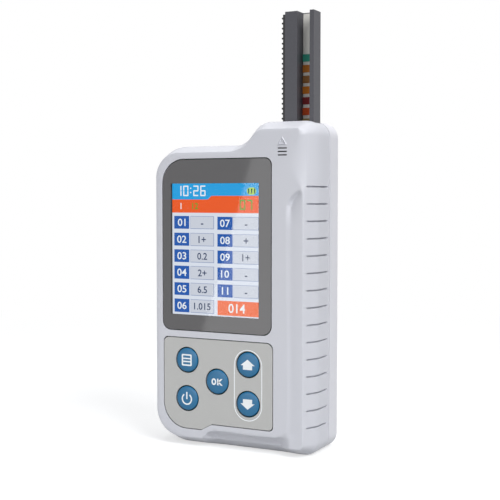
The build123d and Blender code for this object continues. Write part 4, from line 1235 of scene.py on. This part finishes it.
@dataclass
class Key:
    """Round key cap: a crowned profile turned about its own axis, with a raised white legend."""

    legend: Legend
    steps: int = 72
    profile: tuple = (  # radius and depth behind the CAD key's face
        (0.6, 0.05), (1.8, 0.06), (3.0, 0.09), (3.8, 0.14), (4.2, 0.2), (4.45, 0.3),
        (4.61, 0.44), (4.69, 0.64), (4.7, 1.0), (4.7, 2.6),
    )  # fmt: skip
    sign_depths: tuple[float, float] = (0.03, 0.3)

    def build(self) -> None:
        """Make the cap and its legend, which move with the key."""
        name = self.legend.value
        low, high = node_box(f"key_{name}")
        self.x, self.z = (low[0] + high[0]) / 2, (low[2] + high[2]) / 2
        self.face = low[1]
        radii, rises = np.array(self.profile).T
        n, rows = self.steps, len(radii)
        a = 2 * pi * np.arange(n) / n
        grid = np.zeros((rows, n, 3))
        grid[..., 0] = self.x + radii[:, None] * np.cos(a)
        grid[..., 1] = (self.face + rises)[:, None]
        grid[..., 2] = self.z + radii[:, None] * np.sin(a)
        centre = [(self.x, self.face + rises[0], self.z)]
        points = np.concatenate([centre, grid.reshape(-1, 3)])
        faces = [[0, 1 + k, 1 + (k + 1) % n] for k in range(n)]
        for s in range(1, 1 + (rows - 1) * n, n):
            faces += [[s + k, s + n + k, s + n + (k + 1) % n, s + (k + 1) % n] for k in range(n)]
        faces.append([1 + (rows - 1) * n + k for k in reversed(range(n))])
        cap = make_object(f"cap_{name}", points, faces, [KEY.build()], sharp=50)
        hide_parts(f"key_{name}")
        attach(cap, f"{name}_key")
        self.print_legend(name)

    def print_legend(self, name: str) -> None:
        """Raised white sign on the cap.

        Args:
            name: Name of the key.
        """
        near, far = self.sign_depths
        slab = Slab(self.face + near, self.face + far)
        here = np.array([self.x, self.z])
        if self.legend is Legend.MENU:
            self.menu_sign(slab, here)
        elif self.legend is Legend.POWER:
            self.power_sign(slab, here)
        elif self.legend is Legend.OK:
            self.ok_sign(slab, here)
        else:
            self.arrow_sign(slab, here)
        sign = slab.make(f"legend_{name}", PRINT.build())
        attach(sign, f"{name}_key")

    @staticmethod
    def menu_sign(slab: Slab, here: np.ndarray) -> None:
        """Page with two lines.

        Args:
            slab: Mesh that takes it.
            here: Middle of the key.
        """
        loops = []
        for half_x, half_z, radius in ((2.25, 2.3, 0.5), (1.62, 1.72, 0.1)):
            places = box_loop(-half_x, half_x, -half_z, half_z)
            corners = [(x, z, radius) for x, z in places]
            loops.append(Outline(corners, 4, 9).sample()[0] + here)
        slab.ring(*loops)
        (x, z), half_width, half_bar = here, 1.7, 0.26
        for level in (-0.6, 0.6):
            slab.prism(box_loop(x - half_width, x + half_width, z + level - half_bar, z + level + half_bar))

    @staticmethod
    def power_sign(slab: Slab, here: np.ndarray) -> None:
        """Open ring with an upright stem.

        Args:
            slab: Mesh that takes it.
            here: Middle of the key.
        """
        opening, outer, inner, drop = 72, 2.35, 1.78, 0.25
        a = pi / 2 + radians(opening / 2) + radians(360 - opening) * np.arange(41) / 40
        turn = np.stack([np.cos(a), np.sin(a)], 1)
        slab.prism(np.concatenate([outer * turn, inner * turn[::-1]]) + here - np.array([0, drop]))
        (x, z), half = here, 0.29
        slab.prism(box_loop(x - half, x + half, z - 0.35, z + 2.5))

    @staticmethod
    def ok_sign(slab: Slab, here: np.ndarray) -> None:
        """The letters OK.

        Args:
            slab: Mesh that takes it.
            here: Middle of the key.
        """
        x, z = here
        a = 2 * pi * np.arange(36) / 36
        turn = np.stack([np.cos(a), np.sin(a)], 1)
        outer, inner = (turn * radii + np.array([x - 1.25, z]) for radii in ((1.05, 1.32), (0.46, 0.72)))
        slab.ring(outer, inner)
        left, stem, half = x + 0.18, 0.6, 1.28
        slab.prism(box_loop(left, left + stem, z - half, z + half))
        lower = np.array([(0.5, -0.42), (1.62, -1.28), (2.36, -1.28), (0.98, 0.18), (0.5, 0.3)])
        for arm in (lower, (lower * np.array([1, -1]))[::-1]):
            slab.prism(arm + np.array([left, z]))

    def arrow_sign(self, slab: Slab, here: np.ndarray) -> None:
        """Broad arrow, up or down.

        Args:
            slab: Mesh that takes it.
            here: Middle of the key.
        """
        arrow = np.array([
            (0, 2.05), (-3.0, -0.25), (-1.95, -0.25), (-1.95, -1.9), (1.95, -1.9), (1.95, -0.25),
            (3.0, -0.25),
        ])  # fmt: skip
        if self.legend is Legend.DOWN:
            arrow = (arrow * np.array([1, -1]))[::-1]
        slab.prism(arrow + here)


# ---- display -------------------------------------------------------------------------------
@dataclass
class Screen:
    """Lit picture of the display: flat cells and figures in one flat layer before the glass.

    The cells keep their places on the photograph's page, with plain numbers in them.  The heights
    of the rows were measured on the photograph.
    """

    low: tuple[float, float] = (-24.95, 51.55)
    high: tuple[float, float] = (13.45, 102.75)
    layer: float = 0.075
    colours: dict = field(
        default_factory=lambda: {
            "ground": (224, 231, 243), "sky": (4, 163, 231), "orange": (243, 88, 8),
            "blue": (4, 86, 176), "cell": (208, 214, 226), "rule": (136, 152, 192),
            "ink": (24, 52, 96), "white": (240, 247, 252), "green": (98, 160, 20), "leaf": (6, 88, 20),
            "salmon": (243, 104, 40), "lime": (190, 232, 90),
        }
    )  # fmt: skip

    sky_base: float = 96.5
    band: tuple = (91.4, 97.95, 96.55, -7.4, -9.0)  # base, high and low top, and X of the slant
    clock: tuple = (-23.1, 97.85, 2.35, 4.1, 0.5)  # left, base, width, height and pen
    clock_gap: float = 0.78
    colon_width: float = 0.6
    counter: tuple = (4.9, 92.6, 2.4, 3.9, 0.6)
    counter_pitch: float = 3.0
    battery: tuple = (9.25, 10.55, 99.75, 1.35)  # centres of its round ends, middle and radius
    charge: tuple = (8.3, 1.27, 0.7, 98.8, 100.7)  # left, pitch, width, base and top of the bars
    left_column: tuple = (-24.1, -17.33, -16.79, -6.28)
    right_column: tuple = (-4.79, 1.83, 2.17, 13.0)
    left_rows: tuple = (
        (85.12, 90.13), (78.49, 83.55), (72.06, 77.04), (65.49, 70.64), (59.11, 64.07),
        (52.4, 57.65),
    )  # fmt: skip
    right_rows: tuple = (
        (84.94, 89.95), (78.46, 83.33), (71.94, 76.97), (65.55, 70.44), (59.01, 63.98),
    )  # fmt: skip
    left_values: tuple = ("-", "1+", "0.2", "2+", "6.5", "1.015")
    right_values: tuple = ("-", "+", "1+", "-", "-")
    result: tuple = (-4.79, 13.0, 52.03, 57.7)
    rims: tuple = (0.1, 0.25, 0.22, 0.18)  # of a value cell: left, right, foot and head
    font_offset: float = 0.012
    full_height: float = 0.66  # of a figure in the font's own units
    sign_middle: float = 0.36  # height of the middle of a plus or minus in those units

    def __post_init__(self) -> None:
        """Start with an empty page."""
        self.points: list = []
        self.faces: list = []
        self.slots: list = []
        self.levels: list = []
        self.names = list(self.colours)

    def add(self, loop: np.ndarray, colour: str, level: int) -> None:
        """One flat shape.

        Args:
            loop: Corners (x, z), anticlockwise from the front.
            colour: Name of its colour.
            level: Layer, where a higher one covers a lower one.
        """
        start = len(self.points)
        self.points += [(x, 0.0, z) for x, z in loop]
        self.faces.append(list(range(start, start + len(loop))))
        self.slots.append(self.names.index(colour))
        self.levels.append(level)

    def write(
        self, text: str, x: float, z: float, size: float, colour: str, level: int, wide: float = 1.0
    ) -> None:
        """Plain figures, centred on a point.

        Args:
            text: Figures to write.
            x: Middle of the line.
            z: Middle of the height.
            size: Height of a figure.
            colour: Name of the colour.
            level: Layer.
            wide: Stretch along X.
        """
        curve = bpy.data.curves.new("figures", "FONT")
        curve.body = text
        curve.size = 1.0
        curve.resolution_u = 3
        curve.offset = self.font_offset
        holder = bpy.data.objects.new("figures", curve)
        bpy.context.scene.collection.objects.link(holder)
        mesh = bpy.data.meshes.new_from_object(holder)
        corners = np.array([v.co[:2] for v in mesh.vertices])
        faces = [list(p.vertices) for p in mesh.polygons]
        bpy.data.objects.remove(holder)
        bpy.data.curves.remove(curve)
        bpy.data.meshes.remove(mesh)
        span = np.ptp(corners, axis=0)
        scale = size / max(span[1], self.full_height)
        middle = corners.min(0) + span / 2
        if span[1] < 0.5:
            middle[1] = self.sign_middle
        start = len(self.points)
        for u, v in (corners - middle) * scale:
            self.points.append((x + u * wide, 0.0, z + v))
        for face in faces:
            self.faces.append([start + k for k in face])
            self.slots.append(self.names.index(colour))
            self.levels.append(level)

    def segments(
        self, figure: str, x: float, z: float, width: float, height: float, pen: float, colour: str
    ) -> None:
        """Seven-segment figure.

        Args:
            figure: A digit or a colon.
            x: Left edge.
            z: Lower edge.
            width: Width of the figure.
            height: Height of the figure.
            pen: Thickness of a segment.
            colour: Name of the colour.
        """
        if figure == ":":
            for level in (0.28, 0.68):
                dot = box_loop(x, x + pen, z + height * level, z + height * level + pen)
                self.add(dot, colour, 3)
            return
        lit = {"0": "abcdef", "1": "bc", "2": "abdeg", "3": "abcdg", "4": "bcfg", "5": "acdfg",
               "6": "acdefg", "7": "abc", "8": "abcdefg", "9": "abcdfg"}[figure]  # fmt: skip
        half, gap = height / 2, pen * 0.22
        spots = {
            "a": (x + gap, x + width - gap, z + height - pen, z + height),
            "g": (x + gap, x + width - gap, z + half - pen / 2, z + half + pen / 2),
            "d": (x + gap, x + width - gap, z, z + pen),
            "f": (x, x + pen, z + half + gap, z + height - gap),
            "b": (x + width - pen, x + width, z + half + gap, z + height - gap),
            "e": (x, x + pen, z + gap, z + half - gap),
            "c": (x + width - pen, x + width, z + gap, z + half - gap),
        }
        for name in lit:
            self.add(box_loop(*spots[name]), colour, 3)

    def build(self) -> None:
        """Draw the page and make one piece of it."""
        self.glass = node_box("lcd_glass")[0][1]
        (left, base), (right, top) = self.low, self.high
        self.add(box_loop(left, right, base, top), "ground", 0)
        self.add(box_loop(left, right, self.sky_base, top), "sky", 1)
        foot, high, low, near, far = self.band
        band = [(left, foot), (right, foot), (right, high), (near, high), (far, low), (left, low)]
        self.add(np.array(band), "orange", 2)
        x, z, figure_width, height, pen = self.clock
        for figure in "10:26":
            width = self.colon_width if figure == ":" else figure_width
            self.segments(figure, x, z, width, height, pen, "white")
            x += width + self.clock_gap
        self.add(level_slot(*self.battery, 8), "lime", 3)
        left, pitch, width, base, top = self.charge
        for k in range(3):
            self.add(box_loop(left + k * pitch, left + width + k * pitch, base, top), "leaf", 4)
        self.write("1", -21.0, 94.0, 2.4, "white", 3)
        self.write("12", -14.6, 94.0, 2.4, "green", 3)
        x, z, width, height, pen = self.counter
        for k, figure in enumerate("07"):
            self.segments(figure, x + k * self.counter_pitch, z, width, height, pen, "green")
        for k, (row, value) in enumerate(zip(self.left_rows, self.left_values)):
            self.cell(self.left_column, row, f"{k + 1:02d}", value)
        for k, (row, value) in enumerate(zip(self.right_rows, self.right_values)):
            self.cell(self.right_column, row, f"{k + 7:02d}", value)
        self.add(box_loop(*self.result), "salmon", 1)
        self.write("014", 3.6, 54.9, 3.6, "white", 2)
        materials = [glow_material(f"lit_{n}", c, 0.98) for n, c in self.colours.items()]
        points, faces, slots = self.flatten()
        page = make_object("screen_picture", points, faces, materials, slots, None)
        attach(page, "case")

    def flatten(self) -> tuple[np.ndarray, list, list]:
        """Cut all shapes against each other, so that one flat layer shows the uppermost of each.

        Returns:
            Points, triangles and the colour number of each triangle.
        """
        flat = np.array(self.points)[:, [0, 2]]
        edges = [(a, b) for shape in self.faces for a, b in zip(shape, shape[1:] + shape[:1])]
        result = delaunay_2d_cdt([Vector(p) for p in flat.tolist()], edges, [], 1, 1e-5)
        places = np.array([tuple(v) for v in result[0]])
        faces = np.array(result[2])
        middles = places[faces].mean(1)
        colours = np.full(len(faces), -1)
        for k in np.argsort(self.levels, kind="stable"):
            loop = flat[self.faces[k]]
            near = np.flatnonzero(((middles >= loop.min(0)) & (middles <= loop.max(0))).all(1))
            colours[near[inside(middles[near], loop)]] = self.slots[k]
        shown = colours >= 0
        y = np.full(len(places), self.glass - self.layer)
        points = np.stack([places[:, 0], y, places[:, 1]], 1)
        return points, faces[shown].tolist(), colours[shown].tolist()

    def cell(self, column: tuple, row: tuple[float, float], label: str, value: str) -> None:
        """One row of a column: a blue label cell and a pale value cell with thin rules.

        Args:
            column: Left and right of the label cell, then of the value cell.
            row: Base and top.
            label: Figures in the label cell.
            value: Figures in the value cell.
        """
        l0, l1, v0, v1 = column
        low, high = row
        middle = (low + high) / 2
        left, right, foot, head = self.rims
        self.add(box_loop(l0, l1, low, high), "blue", 1)
        self.write(label, (l0 + l1) / 2, middle, 2.9, "white", 2, 1.1)
        self.add(box_loop(v0, v1, low, high), "rule", 1)
        self.add(box_loop(v0 + left, v1 - right, low + foot, high - head), "cell", 2)
        self.write(value, (v0 + v1) / 2, middle, 2.7, "ink", 3)


# ---- whole model ---------------------------------------------------------------------------
@dataclass
class Analyzer:
    """Everything that dresses the CAD frame."""

    case: CaseFront = field(default_factory=CaseFront)
    panels: Panels = field(default_factory=Panels)
    screen: Screen = field(default_factory=Screen)
    pad_colours: tuple = (
        (44, 150, 128), (184, 108, 22), (146, 98, 46), (196, 112, 8), (120, 16, 20),
        (206, 76, 12), (170, 148, 96), (196, 170, 84), (122, 92, 60), (88, 128, 92), (182, 150, 60),
    )  # fmt: skip
    pad_pitch: float = 4.05
    pad_lead: float = 0.65  # from the first pad to halfway to the place before it
    # Painted shade: the teeth left of this inset get the nearly black tint of the tray material.
    shaded_teeth_inset: float = 11.87  # from the right side of the tray to the foot of the teeth
    line_radii: tuple[float, float] = (6.02, 5.66)  # of the printed line round the arrow keys
    line_shifts: tuple[float, float] = (-0.58, -0.32)  # of its centres from the keys' middles
    line_depths: tuple[float, float] = (-0.03, 0.05)

    def build(self) -> None:
        """Make the pieces and give the CAD nodes their materials."""
        holes = [self.panels.window(), self.panels.keypad(), *self.panels.bars()]
        self.case.build(holes)
        self.panels.build_mark(self.case.front)
        for legend in Legend:
            Key(legend).build()
        self.screen.build()
        self.build_key_frame()
        self.dress_nodes()

    def build_key_frame(self) -> None:
        """White printed line round the two arrow keys."""
        (down_low, down_high), (up_low, up_high) = node_box("key_down"), node_box("key_up")
        x = (up_low[0] + up_high[0]) / 2
        low = (down_low[2] + down_high[2]) / 2 + self.line_shifts[0]
        high = (up_low[2] + up_high[2]) / 2 + self.line_shifts[1]
        panel = node_box("keypad_panel")[0][1]
        slab = Slab(*(panel + depth for depth in self.line_depths))
        slab.ring(*(upright_slot(x, low, high, radius) for radius in self.line_radii))
        line = slab.make("key_frame", PRINT.build())
        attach(line, "case")

    def dress_nodes(self) -> None:
        """Give each shown CAD node its material."""
        tray_right = node_box("strip_tray")[1][0]
        pads_top = node_box("reagent_pads")[1][2] + self.pad_lead
        special = {
            "display_window": window_material(self.screen.low, self.screen.high),
            "strip_tray": tray_material(tray_right - self.shaded_teeth_inset),
            "reagent_pads": pads_material(pads_top, self.pad_pitch, list(self.pad_colours)),
            "rear_label": label_material(),
        }
        for name, node in frame["nodes"].items():
            if name == "front_shell" or name.startswith("key_"):
                continue
            material = special.get(name)
            if material is None:
                finish = NODE_FINISHES.get(name, GUIDE)
                if name not in NODE_FINISHES:
                    log.warning("no finish is given for %s", name)
                material = finish.build()
            node.data.materials.clear()
            node.data.materials.append(material)


# ---- stage ---------------------------------------------------------------------------------
@dataclass
class Studio:
    """Camera, lamps, world and floor.

    The camera's place, in metres, and its angles were solved from the edges of the case in the
    photograph.
    """

    place: tuple[float, float, float] = (0.18683, -0.361185, 0.0975)
    azimuth: float = 27.0
    elevation: float = 2.93
    lens: float = 74.52
    card_y: float = -0.29
    card_size: tuple[float, float] = (0.11, 0.17)
    card_radiance: float = 3.1
    card_edge: tuple = ((0.01045, 0.11212), (-0.01095, 0.0455))  # x and z on the window, in metres
    window_y: float = -0.013775
    soft_lamps: tuple = (  # name, place, target, size and watts
        ("overhead", (-0.05, 0.1, 0.95), (0, 0, 0.08), (0.6, 0.6), 3.2),
        ("left", (-0.25, -0.55, 0.75), (0, 0, 0.07), (0.45, 0.45), 0.3),
        ("key", (0.62, -0.35, 0.68), (0, 0, 0.07), (0.45, 0.45), 6.9),
        ("low", (0.1, -0.85, 0.05), (0, 0, 0.03), (0.5, 0.06), 0.6),
    )
    floor_half: float = 6.0
    floor_z: float = -0.02  # in millimetres, just under the object
    floor_fade: tuple[float, float] = (0.12, 0.5)  # where the shadow gives way to white

    def camera(self) -> None:
        """Camera at the photograph's viewing angle."""
        data = bpy.data.cameras.new("camera")
        data.lens = self.lens
        data.sensor_width = 36.0
        camera = bpy.data.objects.new("camera", data)
        camera.location = self.place
        camera.rotation_euler = (radians(90 - self.elevation), 0, radians(self.azimuth))
        bpy.context.scene.collection.objects.link(camera)
        bpy.context.scene.camera = camera

    def lamp(
        self, name: str, place: tuple, target: tuple | None, size: tuple, watts: float
    ) -> bpy.types.Object:
        """Rectangular soft lamp, aimed at a point if one is given.

        Args:
            name: Name of the lamp.
            place: Its middle.
            target: Point that it faces, or None.
            size: Width and height.
            watts: Its power.

        Returns:
            The lamp.
        """
        data = bpy.data.lights.new(name, "AREA")
        data.shape = "RECTANGLE"
        data.size, data.size_y = size
        data.energy = watts
        lamp = bpy.data.objects.new(name, data)
        lamp.location = place
        if target is not None:
            aim = Vector(target) - Vector(place)
            lamp.rotation_euler = aim.to_track_quat("-Z", "Y").to_euler()
        bpy.context.scene.collection.objects.link(lamp)
        return lamp

    def glare_card(self) -> None:
        """Soft lamp whose mirror image edge crosses the window on a slant.

        The edge lies in the plane through the mirrored camera and two points of the window.
        """
        front = self.window_y
        eye = np.array([self.place[0], 2 * front - self.place[1], self.place[2]])
        marks = (np.array([x, front, z]) for x, z in self.card_edge)
        ends = [eye + (p - eye) * (self.card_y - eye[1]) / (p[1] - eye[1]) for p in marks]
        along = (ends[0] - ends[1]) / np.linalg.norm(ends[0] - ends[1])
        across = np.array([along[2], 0.0, -along[0]])
        width, height = self.card_size
        middle = (ends[0] + ends[1]) / 2 + across * width / 2
        watts = self.card_radiance * pi * width * height
        card = self.lamp("front_card", tuple(middle), None, self.card_size, watts)
        card.rotation_euler = (radians(90), 0, 0)
        card.rotation_euler.rotate_axis("Z", -float(np.arctan2(along[0], along[2])))
        card.visible_camera = False

    def lamps(self) -> None:
        """Soft lamps: overhead, on both sides of the front, and low before it."""
        self.glare_card()
        for lamp in self.soft_lamps:
            self.lamp(*lamp)

    def world(self) -> None:
        """Even pale surroundings: white for the camera and for reflections."""
        world = bpy.data.worlds.new("surroundings")
        bpy.context.scene.world = world
        graph = Graph(world)
        soft = graph.nodes["Background"]
        graph.feed(soft, {"Color": (0.93, 0.96, 1.0, 1), "Strength": 0.3})
        white = graph.add("Background", {"Color": (1, 1, 1, 1), "Strength": 1.0})
        graph.surface(graph.mix(graph.seen(), soft, white), "World Output")

    def floor(self) -> None:
        """Wide pale floor that keeps the object's soft shadow."""
        half = self.floor_half / MM
        points = [(x, z, self.floor_z) for x, z in box_loop(-half, half, -half, half)]
        material = bpy.data.materials.new("floor")
        graph = Graph(material)
        matt = graph.nodes["Principled BSDF"]
        colour = {"Base Color": (0.5, 0.505, 0.51, 1), "Roughness": 0.9, "Specular IOR Level": 0.0}
        graph.feed(matt, colour)
        glow = graph.add("Emission", {"Strength": graph.seen(), "Color": (0.6, 0.6, 0.6, 1)})
        lit = graph.add("AddShader", {0: matt.outputs[0], 1: glow.outputs[0]})
        white = graph.add("Emission", {"Strength": graph.seen()})
        reach = graph.add("VectorMath", {0: graph.place()}, operation="LENGTH")
        near, far = self.floor_fade
        inputs = {"Value": reach.outputs["Value"], "From Min": near, "From Max": far}
        share = graph.add("MapRange", inputs, interpolation_type="SMOOTHSTEP")
        graph.surface(graph.mix(share.outputs["Result"], lit, white))
        plane = make_object("floor", points, [[0, 1, 2, 3]], [material], sharp=None)

    def build(self) -> None:
        """Set up the whole studio."""
        self.camera()
        self.lamps()
        self.world()
        self.floor()
        bpy.context.scene.view_settings.view_transform = "Standard"


def main() -> None:
    """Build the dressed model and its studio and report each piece."""
    logging.basicConfig(level=logging.INFO)
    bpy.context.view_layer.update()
    Studio().build()
    Analyzer().build()
    bpy.context.view_layer.update()
    for piece in bpy.context.scene.objects:
        if piece.type == "MESH":
            log.info("piece %s: %d faces", piece.name, len(piece.data.polygons))


if __name__ == "__main__":
    main()
